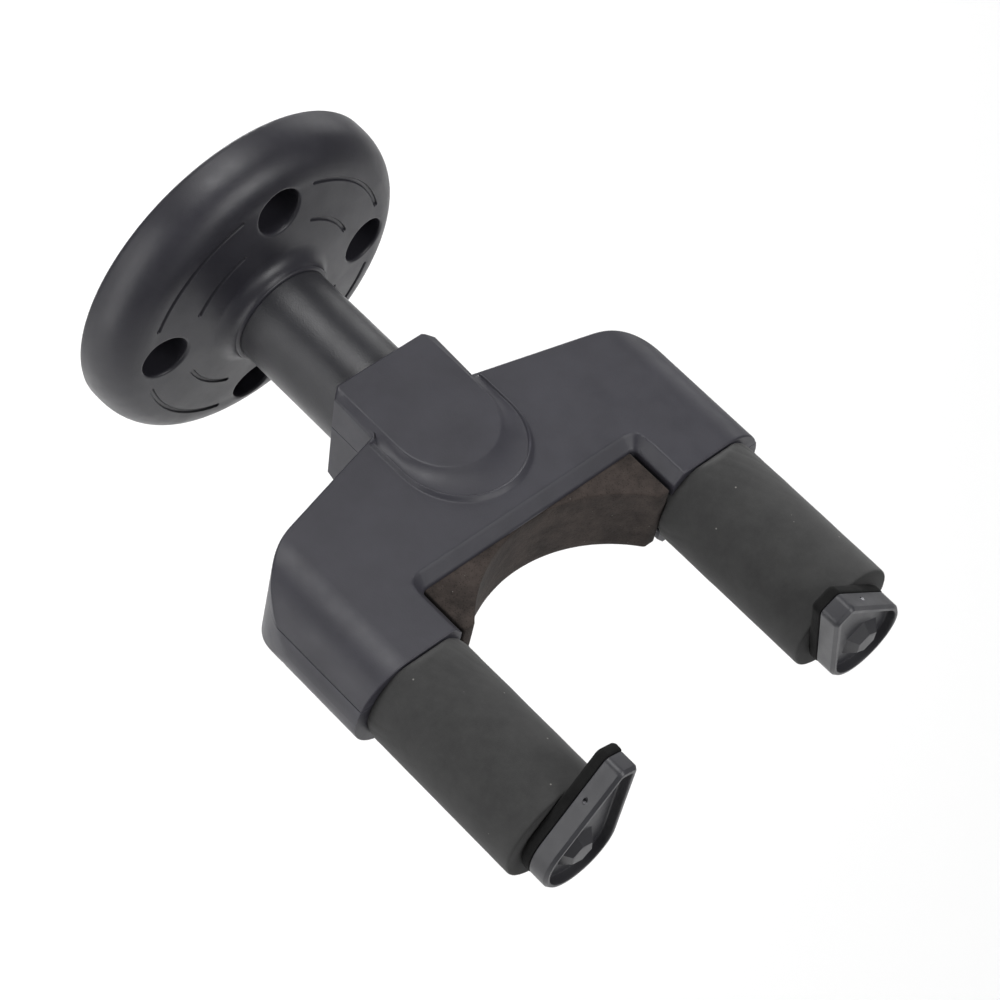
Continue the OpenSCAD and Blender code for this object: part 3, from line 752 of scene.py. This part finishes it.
def cut_half(back=CUT_REAR, radius=1.4):
    """Right half of the cut-out's inner edge, from the front to x = 0."""
    half = [(CUT_W, r) for r in steps(FRONT, back + radius, 9)][1:]
    for a in steps(0, 90, 5)[1:]:
        half.append((CUT_W - radius + radius * cosd(a), back + radius - radius * sind(a)))
    half += [(x, back) for x in steps(CUT_W - radius, 0, 18)[1:]]
    return half


def cut_contour(m, back=CUT_REAR):
    """One contour of the bevel, from its outer edge (m = 0) to its inner edge (m = 3)."""
    w, rear = CUT_W + CHAMFER_W * (1 - m / CHAMFER_H), back - CHAMFER_H + m
    rad = lerp(4.4, 1.5, max(0, m) / 3)
    half = [(w, r) for r in steps(FRONT - 0.6, rear + rad, 12)]
    half += [(w - rad + rad * cosd(a), rear + rad - rad * sind(a)) for a in steps(0, 90, 9)][1:]
    half += [(x, rear) for x in steps(w - rad, 0, 16)[1:]]
    return both_halves(half)


def front_half(outer_x):
    """Right half of the front edge, from the outer side to the cut-out."""
    a0 = math.degrees(math.asin((outer_x - SIDE_X) / HALF_H))
    half = [(SIDE_X + HALF_H * sind(a), FRONT) for a in steps(a0, 0, 16)][1:]
    half += [(x, FRONT) for x in steps(SIDE_X, CUT_W + CHAMFER_W, 8)[1:]]
    half += [(x, FRONT) for x in steps(CUT_W + CHAMFER_W, CUT_W, 5)[1:]]
    return half


def grid_points(rel, loop, z_of, skip, pitch=2.4):
    """Fills the flat parts with points, and the rounded sides with rows along their curve."""
    xs = [i * pitch for i in range(int(SIDE_X / pitch) + 1)]
    xs += [SIDE_X + HALF_H * sind(a) for a in range(0, 90, 4)]
    xs = sorted(set(xs + [-x for x in xs]))
    reach = BOSS_REAR
    while reach < FRONT:
        for x in xs:
            if inside(loop, x, reach) and distance(loop, x, reach) > 1.15 and not skip(x, reach):
                rel.point(x, reach, z_of(x, reach))
        reach += pitch


def u_path(w, c, start):
    """A U from its left end, round the front and back to its right end."""
    left = [(-w, r) for r in steps(start, c, 16)]
    bow = [(w * cosd(a), c + w * sind(a)) for a in steps(180, 0, 40)][1:-1]
    right = [(w, r) for r in steps(c, start, 16)]
    return left + bow + right


def build_upper():
    level = PART_Z + SEAM
    edge_x = SIDE_X + math.sqrt(HALF_H ** 2 - (level + 0.04) ** 2)
    limit = math.degrees(math.acos((edge_x - SHOULDER_X) / SHOULDER_R))
    corner = [(lerp(CORNER_W, WALL_W, t), BOSS_REAR + CORNER_D * t) for t in (0.25, 0.5, 0.75, 1)]
    rear = [(x, BOSS_REAR) for x in steps(0, CORNER_W, 8)]
    rear += [(x, r + (BOSS_TOP_Z - boss_z(x, r)) * BOSS_RAKE) for x, r in corner]
    wall = rear[-1][1] + 0.4
    rear += [(WALL_W, r) for r in steps(wall, REAR_ROOT, 11)][:-1]
    half = rear + wing_half(limit, edge_x) + front_half(edge_x) + cut_half()
    loop = both_halves(half)
    rel = Relief()
    outline = None
    for d, drop_r in ((0, 0.4), (0.05, 0.4), (0.14, 0.4), (0.27, 0.4), (0.42, 0.4), (0.75, 0.4)):
        pts = []
        for x, r in (inset_loop(loop, d) if d else loop):
            z = top_z(x, r) - fillet_drop(d, drop_r)
            pts.append((x, r, max(z, level + 0.04)))
        ids = rel.ring(pts)
        outline = outline or ids

    # the boss: flat top, sloping band, and the raised lip at its foot
    def lip(reach):
        return clamp((reach - REAR_ROOT - 0.3) / 1.8)

    def base_x(reach):
        return lerp(WALL_W - 0.8, LIP_W, clamp((reach - REAR_ROOT) / 2.5))

    rel.ring([(x, r, BOSS_TOP_Z) for x, r in u_path(BOSS_TOP_W - 0.45, TOP_C, BOSS_REAR + 1.1)], False)
    rel.ring([(x, r, BOSS_TOP_Z - 0.02) for x, r in u_path(BOSS_TOP_W - 0.12, TOP_C, BOSS_REAR + 1.6)], False)
    for s in (0.02, 0.06, 0.12, 0.2, 0.3, 0.42, 0.55, 0.68, 0.8, 0.9, 0.97):
        pts = []
        c = lerp(TOP_C, LIP_C, s)
        for x, r in u_path(lerp(BOSS_TOP_W, LIP_W, s), c, BOSS_REAR + 3.2):
            if r < c:
                x = math.copysign(lerp(BOSS_TOP_W, base_x(r), s), x)
            foot = lerp(boss_z(base_x(r), r), 13.42, lip(r))
            pts.append((x, r, BOSS_TOP_Z - 0.04 - (BOSS_TOP_Z - 0.04 - foot) * band_fall(s, r)))
        rel.ring(pts, False)
    bead = ((0, 0.44), (0.1, 0.62), (0.2, 0.8), (0.28, 0.88), (0.37, 0.86))
    bead += ((0.56, 0.6), (0.76, 0.28), (0.9, 0.08), (1.02, 0.01), (1.2, 0))
    for t, rise in bead:
        path = u_path(lerp(LIP_W, FOOT_W, t), lerp(LIP_C, FOOT_C, t), REAR_ROOT + 1.4)
        rel.ring([(x, r, 13.0 + rise * lip(r)) for x, r in path], False)
    for m in (-0.5, -0.14, 0.12, 0.6, 1.3, 2.0, 2.5):
        rel.ring([(x, r, top_z(x, r)) for x, r in cut_contour(m)], False)
    boss_loop = u_path(17.6, FOOT_C, 50)

    def skip(x, r):
        if inside(boss_loop, x, r):
            if abs(x) < BOSS_TOP_W - 1.2 and r < TOP_C:
                return False
            return not math.hypot(x, r - TOP_C) < BOSS_TOP_W - 1.2
        return r > CUT_REAR - 4.1 and abs(x) < CUT_W + 3.7

    def z_of(x, r):
        return BOSS_TOP_Z if inside(boss_loop, x, r) else top_z(x, r)

    grid_points(rel, loop, z_of, skip)

    def lower(p):
        x, r = p[:2]
        if r < wall - 0.01:
            return (x, r + (boss_z(x, r) - level) * BOSS_RAKE, level)
        if r < REAR_ROOT - 0.01:
            t = (r - wall) / (REAR_ROOT - wall)
            foot = BOSS_REAR + CORNER_D + (BOSS_TOP_Z - level) * BOSS_RAKE + 0.3
            return (x, lerp(foot, REAR_ROOT, t), level)
        return (x, r, level)

    skirt = [lower(p) for p in loop]
    body = relief_body("upper_shell_skin", rel, outline, lambda x, y, h: (x, y, h), [skirt], "shell_plastic")
    carve(body, shell_cutters(True))
    dress(body, "shell_plastic", 34)
    weigh_normals(body)
    return body


def shell_cutters(upper):
    """The hollows of a shell: yoke space, boss tunnel, pad pocket, arm bores and sleeve sockets."""
    place = lambda a, b, t: (a, b, t)
    cuts = []
    for most, half_z in ((56.8, 6.5), (51.8, 10.6)):
        far = math.degrees(math.asin((most - SHOULDER_X) / (SHOULDER_R - 2.2)))
        right = [(WALL_W, REAR_ROOT + 2.27)]
        for a in steps(14, far, 8):
            right.append((SHOULDER_X + (SHOULDER_R - 2.2) * sind(a), SHOULDER - (SHOULDER_R - 2.2) * cosd(a)))
        right.append((most, 93.8))
        cuts.append(prism(right + [(-x, y) for x, y in reversed(right)], -half_z, half_z, place))
    cuts.append(cutter_box(-13.3, 13.3, 49, 64.8, -20, 13.1))
    cuts.append(cutter_box(-10.8, 10.8, 64, 70, -10.8, 10.8))
    cuts.append(cutter_box(-31.35, 31.35, 95.95, 102.2, -10.05, 9.55))
    for s in (-1, 1):
        a = s * ARM_X
        cuts.append(cutter_box(min(s * 36, s * 52), max(s * 36, s * 52), 93, 98.5, -8, 8))
        cuts.append(cutter_bar(a, 0, 8.1, 98, 116, 64))
        seat = [(x, max(-11.55, min(11.55, z))) for x, z in circle(a, 0, 13.6, 128)]
        clean = [p for i, p in enumerate(seat) if math.dist(p, seat[i - 1]) > 1e-4]
        cuts.append(prism(clean, 111.0, 116, lambda p, q, t: (p, t, q)))
    if not upper:
        for x, r, z in ((28, 78.5, -8.4), (53, 83, -6.5), (56, 104.5, -6)):
            for s in (-1, 1):
                cuts.append(cutter_post(s * x, r, 3.05, z - 40, z))
    return cuts


def build_lower():
    level = PART_Z - SEAM
    rear_at = lambda z: BOSS_REAR + (BOSS_TOP_Z - z) * BOSS_RAKE
    floor = -11.0
    low_rear = rear_at(floor)
    limit = 1.0
    edge_x = SIDE_X + HALF_H * cosd(limit)
    far = math.degrees(math.acos((edge_x - SHOULDER_X) / SHOULDER_R))
    rear = [(x, low_rear) for x in steps(0, CORNER_W, 8)]
    rear += [(lerp(CORNER_W, WALL_W, t), low_rear + CORNER_D * t) for t in (0.33, 0.67, 1)]
    rear += [(WALL_W, r) for r in steps(low_rear + CORNER_D + 0.4, REAR_ROOT, 9)[:-1]]
    half = rear + wing_half(far, edge_x) + front_half(edge_x) + cut_half(LOW_CUT)
    loop = both_halves(half)

    def low_z(x, r):
        if r < REAR_ROOT - 0.05 and abs(x) <= WALL_W + 0.01:
            return lerp(floor, -HALF_H, clamp((r - 54.6) / 5.4))
        return -section_z(x) + chamfer(x, r, LOW_CUT)

    rel = Relief()
    outline = None
    for d in (0, 0.05, 0.14, 0.27, 0.42, 0.75):
        ring = inset_loop(loop, d) if d else loop
        row = [(x, r, min(-0.1, low_z(x, r) + fillet_drop(d, 0.4))) for x, r in ring]
        ids = rel.ring(row)
        outline = outline or ids
    for r in (54.6, 60.0):
        rel.ring([(x, r, low_z(x, r)) for x in steps(1.2 - WALL_W, WALL_W - 1.2, 12)], False)
    for m in (-0.5, -0.14, 0.12, 0.6, 1.3, 2.0, 2.5):
        rel.ring([(x, r, low_z(x, r)) for x, r in cut_contour(m, LOW_CUT)], False)

    def skip(x, r):
        near_bend = min(abs(r - 54.6), abs(r - 60)) < 1 and abs(x) < 16
        return near_bend or (r > CUT_REAR - 4.1 and abs(x) < CUT_W + 3.7)

    grid_points(rel, loop, low_z, skip)
    skirt = []
    for z in (0.0, 1.5, 3.0, level):
        row = []
        for x, r in loop:
            if r < REAR_ROOT - 0.01:
                bend = low_rear + CORNER_D
                if r < bend + 0.01:
                    row.append((x, r - low_rear + rear_at(z), z))
                else:
                    t = (r - bend) / (REAR_ROOT - bend)
                    row.append((x, lerp(rear_at(z) + CORNER_D, REAR_ROOT, t), z))
                continue
            most = SIDE_X + math.sqrt(HALF_H ** 2 - z * z)
            row.append((math.copysign(min(abs(x), most), x), r, z))
        skirt.append(row)
    body = relief_body("lower_shell_skin", rel, outline, lambda x, y, h: (x, y, h), skirt, "shell_plastic")
    carve(body, shell_cutters(False))
    dress(body, "shell_plastic", 34)
    weigh_normals(body)
    return body


# ------------ stem, pads and sleeves


def build_stem():
    e = 0.25
    profile = [(STEM_R, reach) for reach in (6.0, 12, 20, 28, 36, 44, 52, STEM_END - e)]
    profile += [(STEM_R - e * 0.3, STEM_END - e * 0.3), (STEM_R - e, STEM_END)]
    profile += [(STEM_BORE, reach) for reach in (STEM_END, 40, 20, 3.5)]
    profile += [(19.6, 3.5), (20.0, 3.9), (20.0, 5.95), (STEM_R + 0.01, 5.95)]
    return lathe("stem_tube_skin", profile, "stem_paint", 160)


CREASES = ((124.8, 1.3, 124.5, 13), (126.6, 0.7, 135.5, 12), (130, 1, 127.5, 12))


def build_sleeve(side, name):
    """A foam sleeve: squeezed where it enters its socket, softly creased near it, square at its end."""
    sign = -1 if side == "left" else 1
    rows = []
    for reach in steps(111.1, 113.6, 3):
        rows.append((13.3, reach, "neck"))
    rows += [(13.5, 114.0, "neck"), (13.72, 114.5, "lip"), (13.88, 115.1, "lip"), (13.96, 115.9, "lip")]
    end = SLEEVE_END
    rows += [(14.0, r, "run") for r in steps(116.6, end - 0.8, 100)]
    rows += [(r, end - d, "run") for r, d in ((13.97, 0.4), (13.85, 0.17), (13.65, 0.05), (13.4, 0))]
    rows += [(r, end, "end") for r in (12, 10.5, 9, 8.35)]
    rows += [(8.08, end - 0.2, "in"), (8.06, 150, "in"), (8.06, 130, "in"), (8.06, 111.1, "in")]
    n = 160
    pts = []
    for r, reach, kind in rows:
        for i in range(n):
            a = 360 * i / n
            c, s = cosd(a), sind(a)
            rr = r
            if kind in ("run", "lip"):
                near = math.exp(-(reach - 114) / 9)
                far = math.exp(-(end - reach) / 5)
                creep = noise.noise(Vector((c * 2.2 + 9 * sign, s * 2.2, reach / 7)))
                fine = noise.noise(Vector((c * 6, s * 6 + 5 * sign, reach / 2.2)))
                rr += 0.10 * creep * (0.4 + near) + 0.05 * fine * (near + 0.3 * far)
                fold = math.sin(a * 0.42 + reach * 0.9 + 2.2 * creep)
                rr -= 0.16 * near * max(0, fold) ** 6
                for start, rise, mid, half in CREASES if side == "left" else ():
                    off = reach - start - rise * (mid + half - a) / (2 * half)
                    rr -= 0.12 * math.exp(-((off / 0.22) ** 2)) * max(0, 1 - ((a - mid) / half) ** 2)
            x, z = sign * ARM_X + rr * c, rr * s
            if kind in ("neck", "lip"):
                flat = 11.4
                if kind == "lip":
                    flat = lerp(11.4, 13.6, clamp((reach - 114.0) / 1.9) ** 0.6)
                z = max(-flat, min(flat, z))
                if kind == "neck" and abs(x) < CUT_W - 0.6:
                    x = sign * (CUT_W - 0.6)
            pts.append((x, reach, z))
    m = len(rows)
    faces = []
    for k in range(m):
        a, b = k * n, ((k + 1) % m) * n
        faces += [(a + i, a + (i + 1) % n, b + (i + 1) % n, b + i) for i in range(n)]
    return make_mesh(name, pts, faces, "sleeve_foam", 50)


def build_pad():
    """The dense foam pad between the arms, with its hollow front face and soft edges."""
    half_w, back, tip, low, high = 31.25, 96.1, 114.05, -10.0, 9.5
    centre, radius = 101.2 + 37.5, 37.5
    half = [(x, back) for x in steps(0, half_w - 0.5, 12)]
    half += [(half_w - 0.15, back + 0.15), (half_w, back + 0.5)]
    half += [(half_w, r) for r in steps(back + 0.5, tip - 0.4, 10)[1:]]
    half += [(half_w - 0.12, tip - 0.12), (half_w - 0.4, tip)]
    edge = math.sqrt(radius ** 2 - (centre - tip) ** 2)
    half += [(lerp(half_w - 0.4, edge + 0.3, t), tip) for t in (0.5, 1)]
    a0 = math.degrees(math.asin(edge / radius))
    half += [(radius * sind(a), centre - radius * cosd(a)) for a in steps(a0 - 0.6, 0, 26)]
    loop = both_halves(half)
    rel = Relief()
    outline = None
    rise = {0: -0.5, 0.06: -0.24, 0.2: -0.08, 0.45: 0.0, 1.1: 0.03}
    for d, dz in rise.items():
        pts = []
        for x, r in (inset_loop(loop, d) if d else loop):
            bump = 0.05 * noise.noise(Vector((x / 6, r / 6, 2)))
            pts.append((x, r, high + dz + (bump if d else 0)))
        ids = rel.ring(pts)
        outline = outline or ids
    reach = back + 1.5
    while reach < tip:
        x = -half_w + 1.5
        while x < half_w:
            if inside(loop, x, reach) and distance(loop, x, reach) > 1.5:
                rel.point(x, reach, high + 0.03 + 0.06 * noise.noise(Vector((x / 6, reach / 6, 2))))
            x += 1.6
        reach += 1.6
    skirt = []
    for z in steps(high - 0.5, low + 0.5, 12)[1:]:
        row = []
        for x, r in loop:
            k = 0.05 * noise.noise(Vector((x / 5, r / 5, z / 5)))
            row.append((x * (1 - 0.0006), r + k, z))
        skirt.append(row)
    small = inset_loop(loop, 0.14)
    skirt.append([(x, r, low + 0.14) for x, r in small])
    small = inset_loop(loop, 0.5)
    skirt.append([(x, r, low) for x, r in small])
    return relief_body("neck_pad_foam", rel, outline, lambda x, y, h: (x, y, h), skirt, "pad_foam", 50)


# ------------ gates


def drop_loop(r, tip_r, tip_half, length, n_round=64, n_tip=7, n_side=10):
    """The gate's outline in its own frame, tip along +a: a round end, straight sides, a flat tip."""
    d = length - tip_r
    gap = math.hypot(d, tip_half)
    turn = math.degrees(math.atan2(tip_half, d) + math.acos((r - tip_r) / gap))
    near = (r * cosd(turn), r * sind(turn))
    far = (d + tip_r * cosd(turn), tip_half + tip_r * sind(turn))
    pts = [(r * cosd(a), r * sind(a)) for a in steps(turn, 360 - turn, n_round)]
    pts += [(lerp(near[0], far[0], t), -lerp(near[1], far[1], t)) for t in steps(0, 1, n_side)[1:]]
    pts += [(d + tip_r * cosd(a), -tip_half + tip_r * sind(a)) for a in steps(-turn, 0, n_tip)[1:]]
    pts += [(length, lerp(-tip_half, tip_half, t)) for t in (0.33, 0.67)]
    pts += [(d + tip_r * cosd(a), tip_half + tip_r * sind(a)) for a in steps(0, turn, n_tip)]
    pts += [(lerp(far[0], near[0], t), lerp(far[1], near[1], t)) for t in steps(0, 1, n_side)[1:-1]]
    return pts


def gate_place(side):
    sign, turn = -1 if side == "left" else 1, GATE_TURN[side]

    def place(a, b, reach):
        x = a * cosd(turn) - b * sind(turn)
        z = a * sind(turn) + b * cosd(turn)
        return (-sign * x + sign * ARM_X, reach, z)
    return place


def build_tab(side):
    sign = -1 if side == "left" else 1
    place = gate_place(side)
    full = lambda d: drop_loop(GATE_R - d, GATE_TIP_R - min(d, 1.4), GATE_TIP_HALF, GATE_LEN - d)
    rel = Relief()
    outline = None
    for d, drop in ((0, 0.85), (0.05, 0.72), (0.52, 0.1), (0.6, 0.02), (0.72, 0), (1.0, 0)):
        ids = rel.ring([(a, b, GATE_FRONT - drop) for a, b in full(d)])
        outline = outline or ids
    floor = GATE_FRONT - 2.3

    def inner(d):
        half_tip = 1.3 - 0.25 * max(0, d - 1.2)
        return drop_loop(GATE_R - d, max(0.25, 1.9 - d), half_tip, GATE_LEN - d - 0.35)

    for d, drop in ((1.16, 0), (1.24, 0.05), (1.31, 0.2), (1.37, 0.8)):
        rel.ring([(a, b, GATE_FRONT - drop) for a, b in inner(d)])
    for d, rise in ((1.45, 0.4), (1.55, 0.12), (1.75, 0), (2.3, 0)):
        rel.ring([(a, b, floor + rise) for a, b in inner(d)])
    for rr, rise in ((5.7, 0), (5.45, 0.04), (5.3, 0.16), (3.3, 2.3), (3.12, 2.45), (2.8, 2.5)):
        hexagon = []
        for k in range(6):
            p, q = circle(0, 0, rr, 6, 30)[k], circle(0, 0, rr, 6, 30)[(k + 1) % 6]
            hexagon += [(lerp(p[0], q[0], t), lerp(p[1], q[1], t)) for t in (0, 0.25, 0.5, 0.75)]
        rel.ring([(a, b, floor + rise) for a, b in hexagon])
    rel.point(0, 0, floor + 2.5)
    for a in steps(9, 20, 6):
        rel.point(a, 0, floor)
    skirt = []
    outer = full(0)
    for reach in (GATE_FRONT - 2.0, GATE_FRONT - 3.5, GATE_BACK + 0.25):
        skirt.append([place(a, b, reach) for a, b in outer])
    small = full(0.25)
    skirt.append([place(a, b, GATE_BACK + 0.03) for a, b in small])
    name = f"gate_tab_{side}_skin"
    body = relief_body(name, rel, outline, place, skirt, "gate_plastic", 30)
    shaft = cutter_bar(sign * ARM_X, 0, 3.03, GATE_BACK - 1, GATE_BACK + 3.1, 48)
    d = GATE_TURN[side] + 20
    direction = Vector((-sign * cosd(d), 0, sind(d)))
    reach = GATE_BACK + (GATE_FRONT - GATE_BACK) * 0.4
    ring0, ring1 = [], []
    up = Vector((0, 1, 0))
    across = direction.cross(up)
    for k in range(28):
        off = (across * cosd(k * 360 / 28) + up * sind(k * 360 / 28)) * 0.55
        ring0.append((sign * ARM_X + direction.x * 2 + off.x, reach + off.y, direction.z * 2 + off.z))
        ring1.append((sign * ARM_X + direction.x * 22 + off.x, reach + off.y, direction.z * 22 + off.z))
    faces = [(k, (k + 1) % 28, 28 + (k + 1) % 28, 28 + k) for k in range(28)]
    faces += [tuple(range(28)), tuple(range(28, 56))]
    carve(body, [shaft, plain("cut", ring0 + ring1, faces)])
    dress(body, "gate_plastic", 30)
    weigh_normals(body)
    return body


def build_rubber(side):
    """The soft pad behind a gate, a little fuller than the tab and rounded all round its rear edge."""
    sign = -1 if side == "left" else 1
    place = gate_place(side)
    full = lambda d: drop_loop(GATE_R + 0.1 - d, max(0.3, 1.8 - d), 1.6, GATE_LEN + 0.25 - d)
    rel = Relief()
    outline = None
    for d, drop in ((0, 0.35), (0.08, 0.16), (0.2, 0.05), (0.45, 0)):
        ids = rel.ring([(a, b, GATE_BACK - 0.06 - drop) for a, b in full(d)])
        outline = outline or ids
    rel.ring([(a, b, GATE_BACK - 0.06) for a, b in full(1.1)])
    for a, b in [(x, y) for x in range(-6, 20, 3) for y in (-2, 0, 2)]:
        rel.point(a, b * (1 if a < 8 else 0.5), GATE_BACK - 0.06)
    skirt = []
    for reach in steps(GATE_BACK - 0.8, PAD_BACK + 0.9, 3):
        skirt.append([place(a, b, reach) for a, b in full(-0.05)])
    for d, reach in ((0.1, PAD_BACK + 0.55), (0.35, PAD_BACK + 0.2), (0.8, PAD_BACK + 0.03), (1.3, PAD_BACK)):
        skirt.append([place(a, b, reach) for a, b in full(d)])
    name = f"gate_pad_{side}_rubber"
    body = relief_body(name, rel, outline, place, skirt, "gate_rubber", 40)
    carve(body, [cutter_bar(sign * ARM_X, 0, 3.1, PAD_BACK - 1, GATE_BACK + 1, 48)])
    dress(body, "gate_rubber", 40)
    return body


# ------------ assembly

plate = build_plate()
plate.name = "wall_plate_skin"
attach(plate, "stem")
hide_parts("wall_plate")

stem = build_stem()
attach(stem, "stem")
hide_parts("stem_tube")

for shell, node in ((build_upper(), "upper_shell"), (build_lower(), "lower_shell")):
    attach(shell, "yoke")
    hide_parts(node)

pad = build_pad()
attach(pad, "yoke")
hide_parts("neck_pad")

for side in ("left", "right"):
    sleeve = build_sleeve(side, f"sleeve_{side}_foam")
    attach(sleeve, "yoke")
    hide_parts(f"sleeve_{side}")
    tab = build_tab(side)
    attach(tab, f"gate_{side}")
    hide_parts(f"gate_tab_{side}")
    rubber = build_rubber(side)
    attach(rubber, f"gate_{side}")
    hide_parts(f"gate_pad_{side}")

for part in frame["record"]["subparts"]:
    obj = NODES[part["node"]]
    obj.data.materials.clear()
    dark_pin = part["node"].startswith("tab_pin")
    obj.data.materials.append(MATS["clip_steel" if dark_pin else part["material_slot"]])

# ------------ floor, light and camera


def area_light(name, at, aim, width, height, power, colour=(1, 1, 1)):
    data = bpy.data.lights.new(name, "AREA")
    data.shape = "RECTANGLE"
    data.size, data.size_y = width, height
    data.energy = power
    data.color = colour
    obj = bpy.data.objects.new(name, data)
    bpy.context.scene.collection.objects.link(obj)
    obj.location = at
    obj.rotation_euler = (Vector(aim) - Vector(at)).to_track_quat("-Z", "Y").to_euler()
    return obj


FLOOR_Z = -0.62
floor_mesh = bpy.data.meshes.new("studio_floor")
corners = [(-6, -6, FLOOR_Z), (6, -6, FLOOR_Z), (6, 6, FLOOR_Z), (-6, 6, FLOOR_Z)]
floor_mesh.from_pydata(corners, [], [(0, 1, 2, 3)])
floor = bpy.data.objects.new("studio_floor", floor_mesh)
bpy.context.scene.collection.objects.link(floor)
paper = Nodes("studio_paper")
tint = paper.noise(3, 2, 0.5)
tone = paper.mix(tint, "Fac", (0.93, 0.93, 0.93), (0.96, 0.96, 0.96))
paper.link(tone, 2, paper.bsdf, "Base Color")
paper.bsdf.inputs["Roughness"].default_value = 0.9
paper.bsdf.inputs["Emission Color"].default_value = (1, 1, 1, 1)
paper.bsdf.inputs["Emission Strength"].default_value = 0.08
floor_mesh.materials.append(paper.mat)

world = bpy.data.worlds.new("studio")
bpy.context.scene.world = world
world.use_nodes = True
world.node_tree.nodes["Background"].inputs["Color"].default_value = (1, 1, 1, 1)
world.node_tree.nodes["Background"].inputs["Strength"].default_value = 0.15

AZ, EL, ROLL = -54.387, 52.316, 14.356
CAMERA_AT = (-0.38370, -0.36695, 0.61817)
LENS, SENSOR = 126.2, 36.0
back = Vector((sind(AZ) * cosd(EL), -cosd(AZ) * cosd(EL), sind(EL)))
right = Vector((cosd(AZ), sind(AZ), 0))
up = back.cross(right)
view_right = cosd(ROLL) * right + sind(ROLL) * up
view_up = -sind(ROLL) * right + cosd(ROLL) * up


def lamp(name, tilt, turn, power, size=0.8, distance=1.4):
    """A soft box facing the hanger, tilt degrees off the view axis and turned about it."""
    hub = Vector((0, -0.09, 0))
    aside = view_right * cosd(turn) + view_up * sind(turn)
    area_light(name, hub + distance * (back * cosd(tilt) + aside * sind(tilt)), hub, size, size, power)


lamp("rim_box", 115, 112, 12.5)
lamp("rim_right", 115, 67, 2.6)
lamp("rim_left", 115, 157, 1.7)
lamp("top_box", 48, 90, 9.5)
lamp("right_box", 48, 0, 8.5)
lamp("left_box", 48, 180, 5)
lamp("side_box", 70, 205, 4)
lamp("low_box", 48, 318, 0.8)

camera_data = bpy.data.cameras.new("camera")
camera_data.lens = LENS
camera_data.sensor_width = SENSOR
camera_data.clip_start = 0.01
camera = bpy.data.objects.new("camera", camera_data)
bpy.context.scene.collection.objects.link(camera)
camera.matrix_world = Matrix((
    (view_right.x, view_up.x, back.x, CAMERA_AT[0]),
    (view_right.y, view_up.y, back.y, CAMERA_AT[1]),
    (view_right.z, view_up.z, back.z, CAMERA_AT[2]),
    (0, 0, 0, 1),
))
bpy.context.scene.camera = camera
bpy.context.scene.view_settings.view_transform = "Standard"
